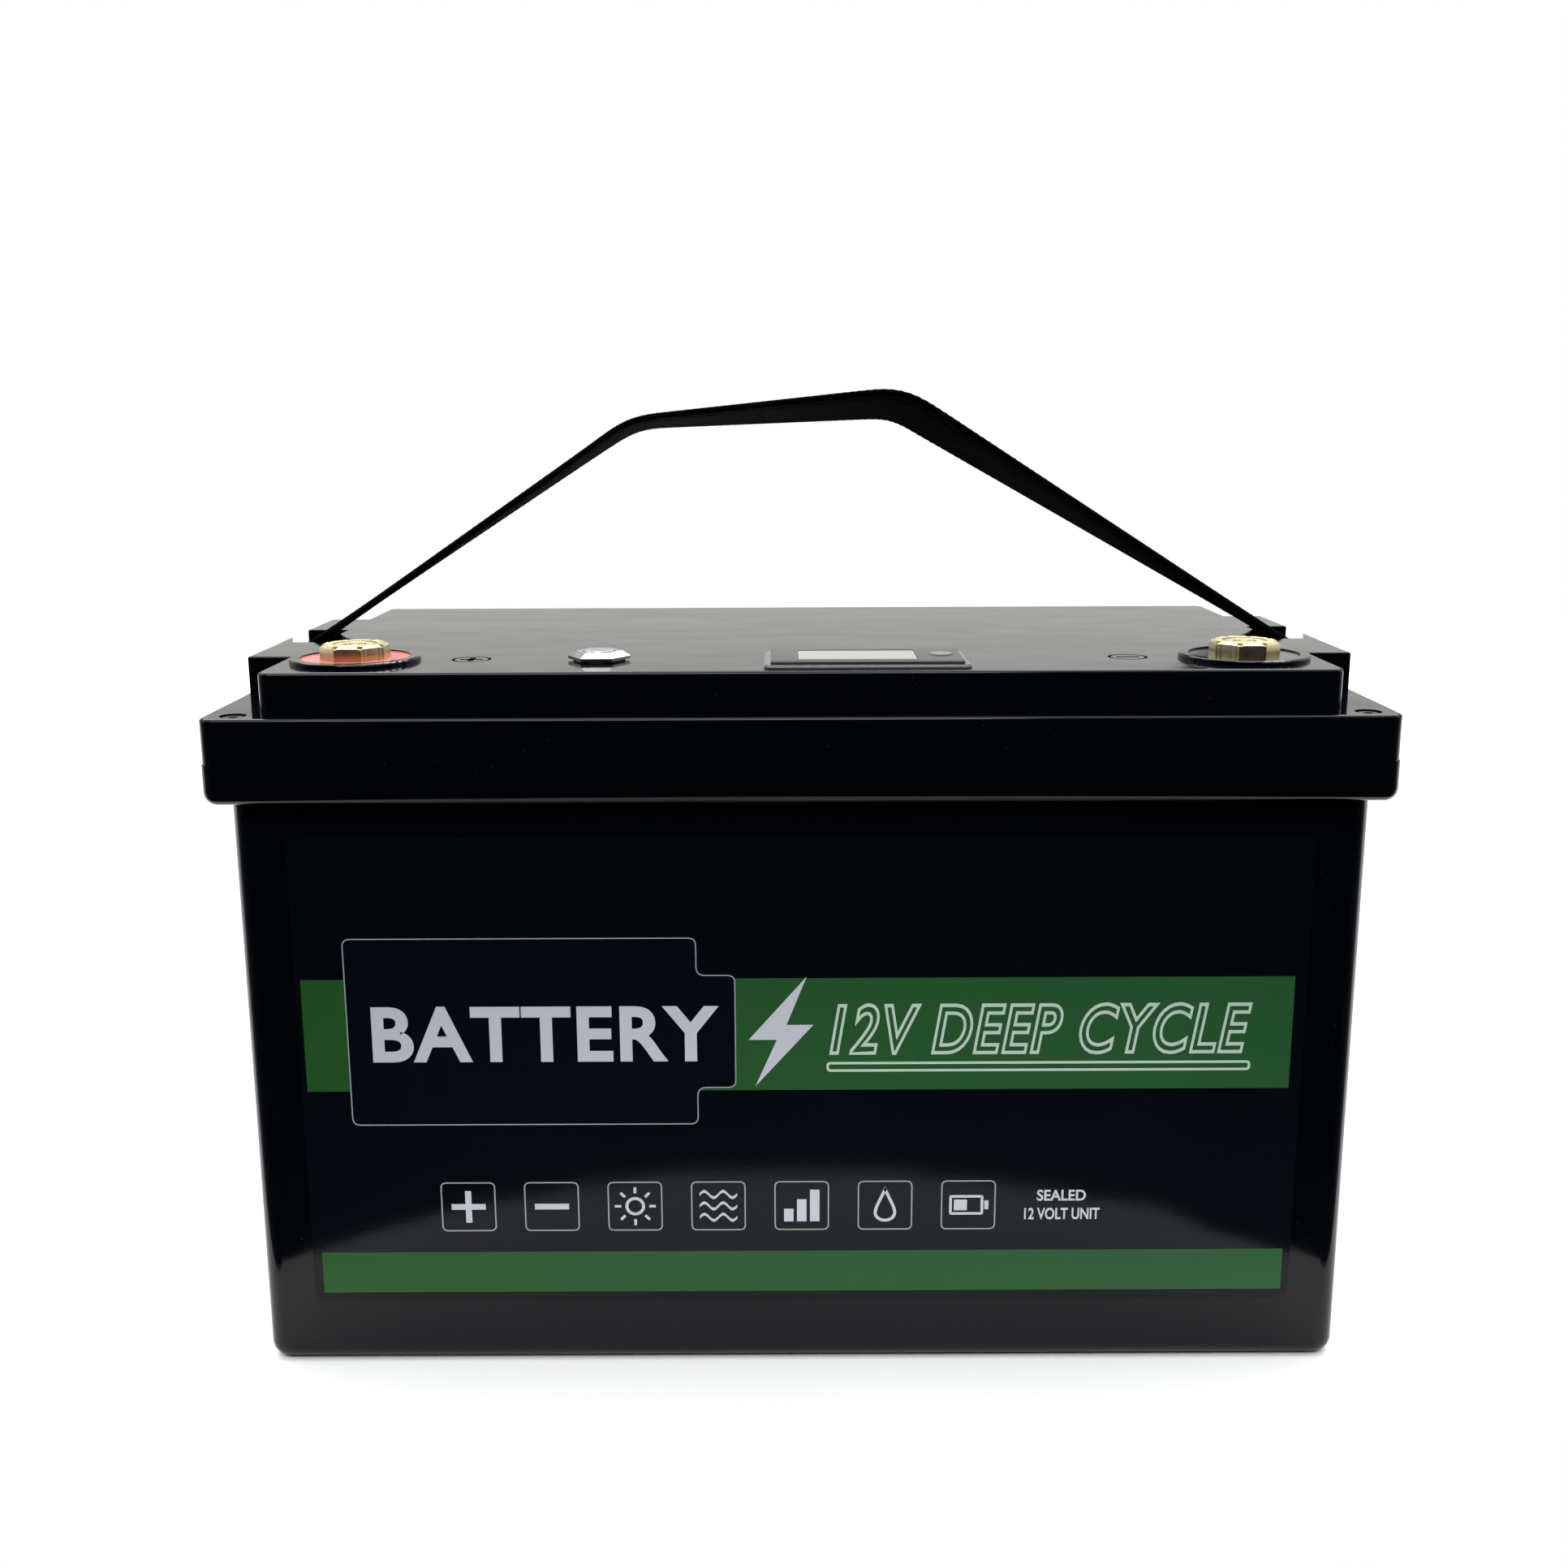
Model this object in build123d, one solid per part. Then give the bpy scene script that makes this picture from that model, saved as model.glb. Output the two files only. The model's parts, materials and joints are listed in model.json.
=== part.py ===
from build123d import *
import math
import os

# Deep cycle battery: a sealed 12 V lithium iron phosphate battery for a caravan or boat.
# A moulded container and lid hold eight prismatic cells in two rows of four groups, a battery
# management board, two threaded brass terminals, a test button, a small display and a carry strap.
# Millimetres, +X along the case, +Y to the back, +Z up, origin at the middle of the underside.

os.makedirs("parts", exist_ok=True)

# ---------------------------------------------------------------- case
case_length = 330.0          # over the rim
case_width = 172.0           # over the rim
lid_top_z = 208.0            # underside of the case to the lid's top face
plateau_height = 12.0        # the lid's raised middle, above its ledge
skirt_height = 13.0          # the lid's skirt, from the parting line to the ledge
rim_height = 11.5            # the container's rim, below the parting line
rim_step = 5.5               # the rim stands out from the body by this
rim_corner = 4.0
rim_round = 3.8              # rounding under the rim
body_corner = 6.0
foot_round = 5.0             # rounding round the bottom of the body
case_wall = 3.0
base_thickness = 3.5

ledge_z = lid_top_z - plateau_height
parting_z = ledge_z - skirt_height
rim_bottom_z = parting_z - rim_height
body_length = case_length - 2 * rim_step
body_width = case_width - 2 * rim_step
inner_length = body_length - 2 * case_wall
inner_width = body_width - 2 * case_wall

# ---------------------------------------------------------------- lid
skirt_setback = 0.25         # the lid's skirt stays inside the rim by this
lid_plate = 3.5              # thickness of the lid's flat faces
lid_wall = 3.0               # thickness of the plateau's upright walls
lid_edge_round = 1.0
plateau_corner = 3.0
plateau_setback_x = 16.0     # plateau's end wall, in from the rim
plateau_setback_y = 5.0      # plateau's long wall, in from the rim
lip_depth = 6.0              # the lip under the lid reaches into the container
lip_wall = 2.0
lip_clearance = 0.4
lip_corner = 14.0            # passes inside the corner screw bosses
lug_reach = 47.0             # each end's pair of lugs spans this much either side of the middle
lug_setback = 3.5            # the lugs' outer face, in from the rim

plateau_x = case_length / 2 - plateau_setback_x
plateau_y = case_width / 2 - plateau_setback_y
lug_x = case_length / 2 - lug_setback
lid_under_z = lid_top_z - lid_plate
ledge_under_z = ledge_z - lid_plate

# ---------------------------------------------------------------- lid screws and seal
screw_inset_x = 8.7
screw_inset_y = 6.5
screw_head_radius = 3.3
screw_head_height = 2.2
screw_recess = 2.6           # depth of the counterbore
screw_radius = 1.5
screw_length = 18.0
screw_boss_radius = 4.5
screw_boss_height = 28.0
small_clearance = 0.05       # between pieces that are held together
head_clearance = 0.4
seal_width = 2.4
seal_height = 1.6
seal_inset = 1.7             # outer face of the seal, in from the rim
seal_clearance = 0.05

screw_x = case_length / 2 - screw_inset_x
screw_y = case_width / 2 - screw_inset_y

# ---------------------------------------------------------------- terminals
terminal_inset_y = 24.5      # back from the plateau's front wall
terminal_head_flats = 18.4
terminal_head_height = 4.1
terminal_shank_radius = 7.0
terminal_thread_radius = 3.4 # wall of the M8 thread, as modelled
terminal_thread_depth = 12.0
terminal_foot = 14.0         # shank below the potting's top face
terminal_collar_radius = 10.5
terminal_collar_height = 2.5
terminal_bevel = 0.6
notch_length = 2.4
notch_width = 1.6
recess_radius = 6.4          # ring cut into the head's top, round the land
land_radius = 5.4
recess_depth = 0.7
land_drop = 0.2              # the land is under the head's top by this
well_radius = 15.6
well_wall = 2.9
well_floor = 3.0
well_rise = 1.3              # the well's ring above the lid
well_depth = 8.0             # lid's top face to the well's floor
potting_below_ring = 0.4
shank_clearance = 0.2

terminal_x = plateau_x - lid_wall - well_wall - well_radius
terminal_y = -(plateau_y - terminal_inset_y)
ring_top_z = lid_top_z + well_rise
potting_top_z = ring_top_z - potting_below_ring
well_floor_z = lid_top_z - well_depth
terminal_top_z = potting_top_z + terminal_head_height
terminal_foot_z = potting_top_z - terminal_foot

# ---------------------------------------------------------------- polarity marks beside the terminals
mark_spacing = 33.0          # from the terminal's centre
mark_setback = 1.5           # further back than the terminal
mark_radius = 5.7
mark_line = 0.9
mark_bar = 6.6
mark_bar_width = 1.8
mark_depth = 0.6

# ---------------------------------------------------------------- test button
button_x = -57.5
button_inset_y = 24.0
button_flange_flats = 15.4
button_flange_height = 2.2
button_bevel_height = 1.4    # the flange's top is bevelled on its six sides
button_bevel_width = 2.0
button_barrel_radius = 6.0
button_barrel_depth = 14.0   # below the lid's top face
button_bore_radius = 4.7
button_floor = 3.0
button_cap_clearance = 0.2
button_cap_rise = 0.3        # the cap's crown above the flange
button_travel = 1.2
button_cap_height = 6.3
button_stem_radius = 2.0
button_seal_height = 0.5
button_seal_inset = 0.3       # inside the flange's flats
button_nut_flats = 16.0
button_nut_height = 3.0
spring_wire = 0.4            # radius of the wire
spring_turns = 4
switch_side = 10.0
switch_height = 7.0
switch_leg_length = 3.0

button_y = -(plateau_y - button_inset_y)
button_seat_z = lid_top_z + button_seal_height
button_face_z = button_seat_z + button_flange_height
button_barrel_z = lid_top_z - button_barrel_depth
button_floor_z = button_barrel_z + button_floor
cap_top_z = button_face_z + button_cap_rise
cap_under_z = cap_top_z - button_cap_height

# ---------------------------------------------------------------- display
display_x = 18.7
display_inset_y = 19.0
display_length = 57.6
display_depth = 30.0
display_base_height = 1.0
display_base_bevel = 0.6
display_corner = 2.0
display_step = 1.8           # the panel is inside the frame by this all round
panel_height = 1.0
panel_bevel = 0.4
panel_corner = 1.2
cutout_length = 50.0
cutout_depth = 22.0
collar_wall = 1.4
collar_clearance = 0.2
collar_reach = 6.0           # frame's collar below the lid's top face
window_length = 33.4
window_depth = 19.0
window_offset = -2.6
glass_clearance = 0.1
glass_below_panel = 0.15
key_offset = 21.3
key_radius = 3.2
key_clearance = 0.15
key_rise = 0.4
key_travel = 0.4
key_stem_radius = 1.3
board_thickness = 1.6
display_switch_side = 5.0
display_switch_height = 3.0
key_stem_gap = 0.1           # between the pressed key's stem and its switch
module_margin = 1.0

display_y = -(plateau_y - display_inset_y)
panel_z = lid_top_z + display_base_height
panel_top_z = panel_z + panel_height
collar_z = lid_top_z - collar_reach

# ---------------------------------------------------------------- carry strap and its anchors
strap_width = 25.0
strap_thickness = 2.2
bar_radius = 2.0
bar_setback_x = 3.5          # outside the plateau's end wall
bar_drop = 4.5               # bar's centre below the lid's top face
bar_embed = 5.0              # length held in each lug
slot_relief = 1.0            # the slot is cut this far into the plateau's end wall
slot_front_clearance = 2.5
slot_rear_clearance = 4.5
hook_wall = 4.0              # thickness of the front lug's hook, outside the webbing
mouth_front = -1.0           # the slot's open mouth, at the lugs' outer face
mouth_rear = 17.0
wrap_clearance = 0.1
left_leg_angle = 33.5
right_leg_angle = 31.0
grip_left = -51.0            # ends of the grip, as the strap is held up
grip_right = 31.0
grip_bend = 14.0
swing_limit = 60.0           # degrees, each way
hinge_rise = 1.3             # the swing's axis above the lid's top face
stub_drop = 0.4              # the loop's stub ends this far under the swing's axis
swing_clearance = 0.1        # between the stub's end and the webbing, as it swings
tip_width = 0.6              # the moving webbing's width at the swing's axis

bar_x = plateau_x + bar_setback_x
bar_z = lid_top_z - bar_drop
hinge_z = lid_top_z + hinge_rise
slot_front = strap_width / 2 + slot_front_clearance
slot_rear = strap_width / 2 + slot_rear_clearance

# ---------------------------------------------------------------- front label
label_length = 288.0
label_bottom_z = 20.0
label_top_gap = 10.0         # below the rim
label_thickness = 0.25
label_corner = 3.0

# ---------------------------------------------------------------- cell pack
cell_count = 8
pack_end_gap = 1.0
end_plate_thickness = 3.0
spacer_thickness = 0.8
control_room = 58.0          # right end of the container, for the management board
side_pad = 9.5
side_gap = 1.5               # between the cells and the side pads
side_pad_end = 6.0           # the pads stop short of the container's rounded corners
side_pad_drop = 12.0         # below the cells' top, and below the screw bosses
base_pad_thickness = 2.0
head_room = 29.0             # from the cells' top to the underside of the lid
cell_corner = 1.5
vent_radius = 6.0            # safety vent scored in each cell's lid
vent_line = 0.8
vent_depth = 0.4
spacer_inset = 3.0           # the sheets stop short of the cells' sides and top
end_plate_drop = 6.0         # the end plates stop short of the cells' top
post_inset = 24.0
post_radius = 7.0
post_height = 2.0
stud_radius = 3.0
stud_height = 8.0
stud_clearance = 0.2
link_thickness = 2.0
link_width = 18.0
link_overhang = 9.0
bus_foot = 12.0              # width of the positive plate's foot, under its riser
nut_flats = 10.0
nut_height = 5.0
band_thickness = 0.8
band_width = 16.0
band_heights = (36.0, 136.0)

cell_width = inner_width - 2 * (side_pad + side_gap)
pack_start_x = -inner_length / 2 + pack_end_gap
cells_start_x = pack_start_x + end_plate_thickness
spacers_total = (cell_count - 1) * spacer_thickness
cells_room = inner_length - pack_end_gap - 2 * end_plate_thickness - control_room - spacers_total
cell_thickness = cells_room / cell_count
cells_end_x = cells_start_x + cells_room + spacers_total
pack_end_x = cells_end_x + end_plate_thickness
pack_base_z = base_thickness + base_pad_thickness
cell_top_z = lid_under_z - head_room
cell_height = cell_top_z - pack_base_z
post_y = cell_width / 2 - post_inset
link_z = cell_top_z + post_height
link_top_z = link_z + link_thickness
pad_top_z = min(cell_top_z - side_pad_drop, parting_z - screw_boss_height)
lug_bolt_length = 9.0
lug_bolt_head = 5.0
lug_bolt_flats = 13.0
lug_bolt_clearance = 0.1
tab_thickness = 2.0

# ---------------------------------------------------------------- management board and leads
bms_plate_gap = 6.0          # from the pack's end plate
bms_plate_thickness = 3.0
bms_width = 100.0
bms_height = 112.0
bms_base_gap = 30.0          # above the container's floor
bms_foot = 12.0
board_gap = 3.0
board_margin = 4.0
standoff_side = 6.0          # square spacers between the plate and the board
standoff_inset = 8.0
transistor_rows = 2
transistors_per_row = 6
transistor_pitch = 13.0
transistor_row_pitch = 26.0
transistor_start = 20.0      # above the board's lower edge
transistor_width = 9.0
transistor_height = 14.0
transistor_thickness = 4.5
lead_diameter = 8.0
lead_bore_clearance = 0.1
lug_barrel_radius = 5.4
lug_barrel_length = 14.0
lug_palm = 16.0
lug_neck = 3.0
lug_bore_floor = 4.0
lead_end_gap = 0.5           # a lead's end stops short of the bottom of its barrel
balance_wire = 1.6
balance_lane = 4.0
balance_lane_y = 22.0
pad_drop = 34.0              # the leads' ends, under the plate's top
lead_level = 40.0            # the terminal lead runs level this far, then falls
lead_fall = 30.0
lead_aside = 4.0             # its corner is this far to the left
lead_turn = 20.0             # from the level run's end to the next corner
pack_lead_level = 26.0
pack_lead_fall = 26.0
pack_lead_turn = 8.0

bms_x = pack_end_x + bms_plate_gap
board_x = bms_x + bms_plate_thickness + board_gap
bms_bottom_z = base_thickness + bms_base_gap
bms_top_z = bms_bottom_z + bms_height


# ---------------------------------------------------------------- helpers
def block(x0, x1, y0, y1, z0, z1):
    """A box between two corners."""
    return Pos((x0 + x1) / 2, (y0 + y1) / 2, (z0 + z1) / 2) * Box(x1 - x0, y1 - y0, z1 - z0)


def disc(x, y, z0, z1, radius):
    """An upright cylinder between two heights."""
    return Pos(x, y, (z0 + z1) / 2) * Cylinder(radius, z1 - z0)


def slab(length, width, z0, z1, corner):
    """A box centred on the case, with rounded upright corners."""
    return Pos(0, 0, z0) * extrude(RectangleRounded(length, width, corner), z1 - z0)


def hexagon(x, y, z0, z1, flats):
    """A hexagonal prism, as a nut or a bolt's head."""
    outline = RegularPolygon(flats / math.sqrt(3), 6)
    return Pos(x, y, z0) * extrude(outline, z1 - z0)


def edges_at(shape, z):
    """The level edges at one height."""
    return shape.edges().filter_by(lambda e: abs(e.bounding_box().min.Z - z) < 1e-3
                                   and abs(e.bounding_box().max.Z - z) < 1e-3)


def joined(solids):
    """Separate solids kept side by side in one piece of work."""
    return Compound(children=list(solids))


def write(name, shape):
    """Write one piece and give it its name."""
    shape.label = name
    export_step(shape, f"parts/{name}.step")


# ---------------------------------------------------------------- case
def make_container():
    body = slab(body_length, body_width, 0, rim_bottom_z + 1, body_corner)
    body = fillet(edges_at(body, 0), foot_round)
    rim = slab(case_length, case_width, rim_bottom_z, parting_z, rim_corner)
    rim = fillet(edges_at(rim, rim_bottom_z), min(rim_round, rim_step * 0.9))
    outside = body + rim
    hollow = slab(inner_length, inner_width, base_thickness, parting_z, body_corner - case_wall)
    case = outside - hollow
    for sx in (-1, 1):
        for sy in (-1, 1):
            boss_z = parting_z - screw_boss_height
            boss = disc(sx * screw_x, sy * screw_y, boss_z, parting_z, screw_boss_radius)
            case = case + (boss & outside)
    bore_z = ledge_z - screw_recess - screw_length - 1
    for sx in (-1, 1):
        for sy in (-1, 1):
            case = case - disc(sx * screw_x, sy * screw_y, bore_z, parting_z, screw_radius + small_clearance)
    return case - seal_ring(seal_clearance, seal_clearance)


def seal_ring(side, below):
    """The seal's ring, grown by a clearance at its sides and below it."""
    outer = slab(case_length - 2 * (seal_inset - side), case_width - 2 * (seal_inset - side),
                 parting_z - seal_height - below, parting_z, rim_corner)
    inset = seal_inset + seal_width + side
    inner = slab(case_length - 2 * inset, case_width - 2 * inset,
                 parting_z - seal_height - below, parting_z, rim_corner - 2)
    return outer - inner


def strap_slot(side):
    """The slot at one end that the webbing loop sits in, open to the outside through a slanted mouth."""
    inner_x = plateau_x - slot_relief
    hook_x = lug_x - hook_wall
    slant = (mouth_front + slot_front) / hook_wall
    past = 1.0
    points = [(inner_x, -slot_front), (hook_x, -slot_front),
              (lug_x + past, mouth_front + slant * past),
              (lug_x + past, mouth_rear), (inner_x, slot_rear)]
    outline = Polyline(*[(side * x, y) for x, y in points], close=True)
    return Pos(0, 0, ledge_z) * extrude(make_face(outline), plateau_height + 1)


def make_lid():
    length = case_length - 2 * skirt_setback
    width = case_width - 2 * skirt_setback
    skirt = slab(length, width, parting_z, ledge_z, rim_corner)
    skirt = fillet(edges_at(skirt, ledge_z), lid_edge_round)
    plateau = slab(2 * plateau_x, 2 * plateau_y, ledge_z, lid_top_z, plateau_corner)
    plateau = fillet(edges_at(plateau, lid_top_z), lid_edge_round)
    lugs = block(-lug_x, lug_x, -lug_reach, lug_reach, ledge_z, lid_top_z)
    lugs = fillet(edges_at(lugs, lid_top_z), lid_edge_round * 0.6)
    lid = skirt + (plateau + lugs)
    lip_length = inner_length - 2 * lip_clearance
    lip_width = inner_width - 2 * lip_clearance
    lid = lid + slab(lip_length, lip_width, parting_z - lip_depth, parting_z, lip_corner)
    lid = lid - slab(lip_length - 2 * lip_wall, lip_width - 2 * lip_wall,
                     parting_z - lip_depth, ledge_under_z, lip_corner - lip_wall)
    lid = lid - slab(2 * (plateau_x - lid_wall), 2 * (plateau_y - lid_wall), ledge_under_z, lid_under_z,
                     plateau_corner - 1)
    for side in (-1, 1):
        x = side * terminal_x
        well = disc(x, terminal_y, well_floor_z - well_floor, ring_top_z, well_radius + well_wall)
        well = fillet(edges_at(well, ring_top_z), 0.5)
        lid = lid + well
        lid = lid - disc(x, terminal_y, well_floor_z, ring_top_z, well_radius)
        hole_radius = terminal_shank_radius + shank_clearance
        lid = lid - disc(x, terminal_y, well_floor_z - well_floor, well_floor_z, hole_radius)
        lid = lid - strap_slot(side)
        lid = lid - strap_bar(side, small_clearance)
        lid = lid - polarity_mark(side)
        for sy in (-1, 1):
            lid = lid - disc(side * screw_x, sy * screw_y, parting_z, ledge_z, screw_radius + small_clearance)
            lid = lid - disc(side * screw_x, sy * screw_y, ledge_z - screw_recess, ledge_z,
                             screw_head_radius + head_clearance)
    lid = lid - disc(button_x, button_y, lid_under_z, lid_top_z, button_barrel_radius + shank_clearance)
    return lid - block(display_x - cutout_length / 2, display_x + cutout_length / 2,
                       display_y - cutout_depth / 2, display_y + cutout_depth / 2, lid_under_z, lid_top_z)


def polarity_mark(side):
    """A ring with a plus or a minus in it, cut into the lid beside each terminal."""
    x = side * (terminal_x - mark_spacing)
    y = terminal_y + mark_setback
    z0 = lid_top_z - mark_depth
    mark = disc(x, y, z0, lid_top_z, mark_radius) - disc(x, y, z0, lid_top_z, mark_radius - mark_line)
    half = mark_bar / 2
    thin = mark_bar_width / 2
    mark = mark + block(x - half, x + half, y - thin, y + thin, z0, lid_top_z)
    if side < 0:
        mark = mark + block(x - thin, x + thin, y - half, y + half, z0, lid_top_z)
    return mark


def make_lid_screws():
    head_z = ledge_z - screw_recess
    screws = []
    for sx in (-1, 1):
        for sy in (-1, 1):
            x, y = sx * screw_x, sy * screw_y
            head = disc(x, y, head_z, head_z + screw_head_height, screw_head_radius)
            head = fillet(edges_at(head, head_z + screw_head_height), 0.8)
            socket = hexagon(x, y, head_z + screw_head_height / 2, head_z + screw_head_height, 2.5)
            screws.append(head - socket + disc(x, y, head_z - screw_length, head_z, screw_radius))
    return joined(screws)


def make_label():
    z0 = label_bottom_z
    z1 = rim_bottom_z - label_top_gap
    film = extrude(RectangleRounded(label_length, z1 - z0, label_corner), label_thickness)
    return Pos(0, -body_width / 2, (z0 + z1) / 2) * Rot(90, 0, 0) * film


# ---------------------------------------------------------------- terminals
def make_terminal(side):
    """A brass bush: notched eight-sided head, collar held in the potting, shank threaded at both ends."""
    x, y = side * terminal_x, terminal_y
    head = extrude(RegularPolygon(terminal_head_flats / 2 / math.cos(math.pi / 8), 8, rotation=22.5),
                   terminal_head_height)
    head = Pos(x, y, potting_top_z) * head
    head = chamfer(edges_at(head, terminal_top_z), terminal_bevel)
    for turn in range(8):
        notch = Pos(x, y, terminal_top_z) * Rot(0, 0, 45 * turn + 22.5) * Pos(terminal_head_flats / 2, 0, 0)
        head = head - notch * Box(notch_length, notch_width, notch_width)
    recess_z = terminal_top_z - recess_depth
    head = head - disc(x, y, recess_z, terminal_top_z, recess_radius)
    head = head + disc(x, y, recess_z, terminal_top_z - land_drop, land_radius)
    shank = disc(x, y, terminal_foot_z, potting_top_z, terminal_shank_radius)
    collar = disc(x, y, well_floor_z, well_floor_z + terminal_collar_height, terminal_collar_radius)
    bush = head + shank + collar
    bush = bush - disc(x, y, terminal_top_z - terminal_thread_depth, terminal_top_z, terminal_thread_radius)
    hole_top = terminal_foot_z + lug_bolt_length - tab_thickness
    return bush - disc(x, y, terminal_foot_z, min(hole_top, terminal_top_z - terminal_thread_depth - 1),
                       terminal_thread_radius)


def make_potting(side):
    """Resin round a terminal, in a colour that shows its polarity."""
    x, y = side * terminal_x, terminal_y
    resin = disc(x, y, well_floor_z, potting_top_z, well_radius - small_clearance)
    resin = resin - disc(x, y, well_floor_z, potting_top_z, terminal_shank_radius + small_clearance)
    return resin - disc(x, y, well_floor_z, well_floor_z + terminal_collar_height + small_clearance,
                        terminal_collar_radius + small_clearance)


def make_lug_bolts():
    bolts = []
    for side in (-1, 1):
        x = side * terminal_x
        under_z = terminal_foot_z - tab_thickness
        head = hexagon(x, terminal_y, under_z - lug_bolt_head, under_z, lug_bolt_flats)
        reach = under_z + lug_bolt_length - 1.5
        reach = min(reach, terminal_top_z - terminal_thread_depth - 1.5)
        bolts.append(head + disc(x, terminal_y, under_z, reach, terminal_thread_radius - small_clearance))
    return joined(bolts)


# ---------------------------------------------------------------- test button
def make_button_bezel():
    bevel_z = button_face_z - button_bevel_height
    taper = math.degrees(math.atan2(button_bevel_width, button_bevel_height))
    outline = RegularPolygon(button_flange_flats / math.sqrt(3), 6)
    flange = hexagon(button_x, button_y, button_seat_z, bevel_z, button_flange_flats)
    flange = flange + Pos(button_x, button_y, bevel_z) * extrude(outline, button_bevel_height, taper=taper)
    body = flange + disc(button_x, button_y, button_barrel_z, button_seat_z, button_barrel_radius)
    body = body - disc(button_x, button_y, button_floor_z, button_face_z, button_bore_radius)
    return body - disc(button_x, button_y, button_barrel_z, button_floor_z, button_stem_radius + 0.3)


def make_button_cap():
    cap = disc(button_x, button_y, cap_under_z, cap_top_z, button_bore_radius - button_cap_clearance)
    cap = fillet(edges_at(cap, cap_top_z), button_cap_rise * 0.95)
    stem_z = button_barrel_z + 0.9 + button_travel
    return cap + disc(button_x, button_y, stem_z, cap_under_z, button_stem_radius)


def make_button_spring():
    bottom = button_floor_z + spring_wire + small_clearance
    top = cap_under_z - spring_wire - small_clearance
    radius = (button_stem_radius + button_bore_radius) / 2
    coil = Helix(pitch=(top - bottom) / spring_turns, height=top - bottom, radius=radius)
    section = Plane(origin=coil @ 0, z_dir=coil % 0) * Circle(spring_wire)
    return Pos(button_x, button_y, bottom) * sweep(section, path=coil, is_frenet=True)


def make_button_nut():
    top = lid_under_z
    nut = hexagon(button_x, button_y, top - button_nut_height, top, button_nut_flats)
    bore_radius = button_barrel_radius + small_clearance
    return nut - disc(button_x, button_y, top - button_nut_height, top, bore_radius)


def make_button_seal():
    ring = disc(button_x, button_y, lid_top_z, button_seat_z, button_flange_flats / 2 - button_seal_inset)
    return ring - disc(button_x, button_y, lid_top_z, button_seat_z, button_barrel_radius + small_clearance)


def make_button_switch():
    half = switch_side / 2
    top = button_barrel_z
    legs_z = top - switch_height - switch_leg_length
    body = block(button_x - half, button_x + half, button_y - half, button_y + half, top - switch_height, top)
    body = body + disc(button_x, button_y, top, top + 0.7, button_stem_radius * 0.6)
    for offset in (-half / 2, half / 2):
        x = button_x + offset
        body = body + block(x - 0.4, x + 0.4, button_y - 1.2, button_y + 1.2, legs_z, top - switch_height)
    return body


# ---------------------------------------------------------------- display
def display_box(length, depth, z0, z1, offset=0.0):
    """A box centred on the display."""
    x = display_x + offset
    return block(x - length / 2, x + length / 2, display_y - depth / 2, display_y + depth / 2, z0, z1)


def make_display_frame():
    base = display_box(display_length, display_depth, lid_top_z, panel_z)
    base = fillet(base.edges().filter_by(Axis.Z), display_corner)
    base = chamfer(edges_at(base, panel_z), display_base_bevel)
    length = cutout_length - 2 * collar_clearance
    depth = cutout_depth - 2 * collar_clearance
    frame = base + display_box(length, depth, collar_z, lid_top_z)
    return frame - display_box(length - 2 * collar_wall, depth - 2 * collar_wall, collar_z, panel_z)


def make_display_panel():
    panel = display_box(display_length - 2 * display_step, display_depth - 2 * display_step,
                        panel_z, panel_top_z)
    panel = fillet(panel.edges().filter_by(Axis.Z), panel_corner)
    panel = chamfer(edges_at(panel, panel_top_z), panel_bevel)
    panel = panel - display_box(window_length, window_depth, panel_z, panel_top_z, window_offset)
    key_x = display_x + key_offset
    return panel - disc(key_x, display_y, panel_z, panel_top_z, key_radius + key_clearance)


def make_display_window():
    gap = 2 * glass_clearance
    return display_box(window_length - gap, window_depth - gap, panel_z,
                       panel_top_z - glass_below_panel, window_offset)


def make_display_module():
    margin = 2 * (collar_wall + collar_clearance + module_margin)
    return display_box(window_length - 2, cutout_depth - margin, collar_z, panel_z - 0.2, window_offset)


def make_display_key():
    x = display_x + key_offset
    head = disc(x, display_y, panel_z + key_travel, panel_top_z + key_rise, key_radius)
    head = fillet(edges_at(head, panel_top_z + key_rise), 0.35)
    stem_z = collar_z + display_switch_height + key_travel + key_stem_gap
    return head + disc(x, display_y, stem_z, panel_z + key_travel, key_stem_radius)


def make_display_board():
    return display_box(cutout_length - 2 * collar_clearance, cutout_depth - 2 * collar_clearance,
                       collar_z - board_thickness, collar_z)


def make_display_switch():
    x = display_x + key_offset
    half = display_switch_side / 2
    inside = display_x + cutout_length / 2 - collar_clearance - collar_wall - small_clearance
    x1 = min(x + half, inside)
    return block(x - half, x1, display_y - half, display_y + half, collar_z,
                 collar_z + display_switch_height)


# ---------------------------------------------------------------- carry strap
def strap_bar(side, growth=0.0):
    """The steel bar across one slot, held in both lugs."""
    rear_slope = (mouth_rear - slot_rear) / (lug_x - plateau_x + slot_relief)
    rear = slot_rear + rear_slope * (bar_x - plateau_x + slot_relief)
    y0 = -slot_front - bar_embed
    y1 = rear + bar_embed
    bar = Cylinder(bar_radius + growth, y1 - y0)
    return Pos(side * bar_x, (y0 + y1) / 2, bar_z) * Rot(90, 0, 0) * bar


def leg_start(side, angle):
    """Where a leg's middle line leaves the bar, and its direction towards the grip."""
    a = math.radians(angle)
    reach = bar_radius + wrap_clearance + strap_thickness / 2
    start = (side * (bar_x + reach * math.sin(a)), bar_z + reach * math.cos(a))
    return start, (-side * math.cos(a), math.sin(a))


def leg_point(side, angle, z):
    """The point of a leg's middle line at one height."""
    (x0, z0), (dx, dz) = leg_start(side, angle)
    return x0 + dx * (z - z0) / dz, z


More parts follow.
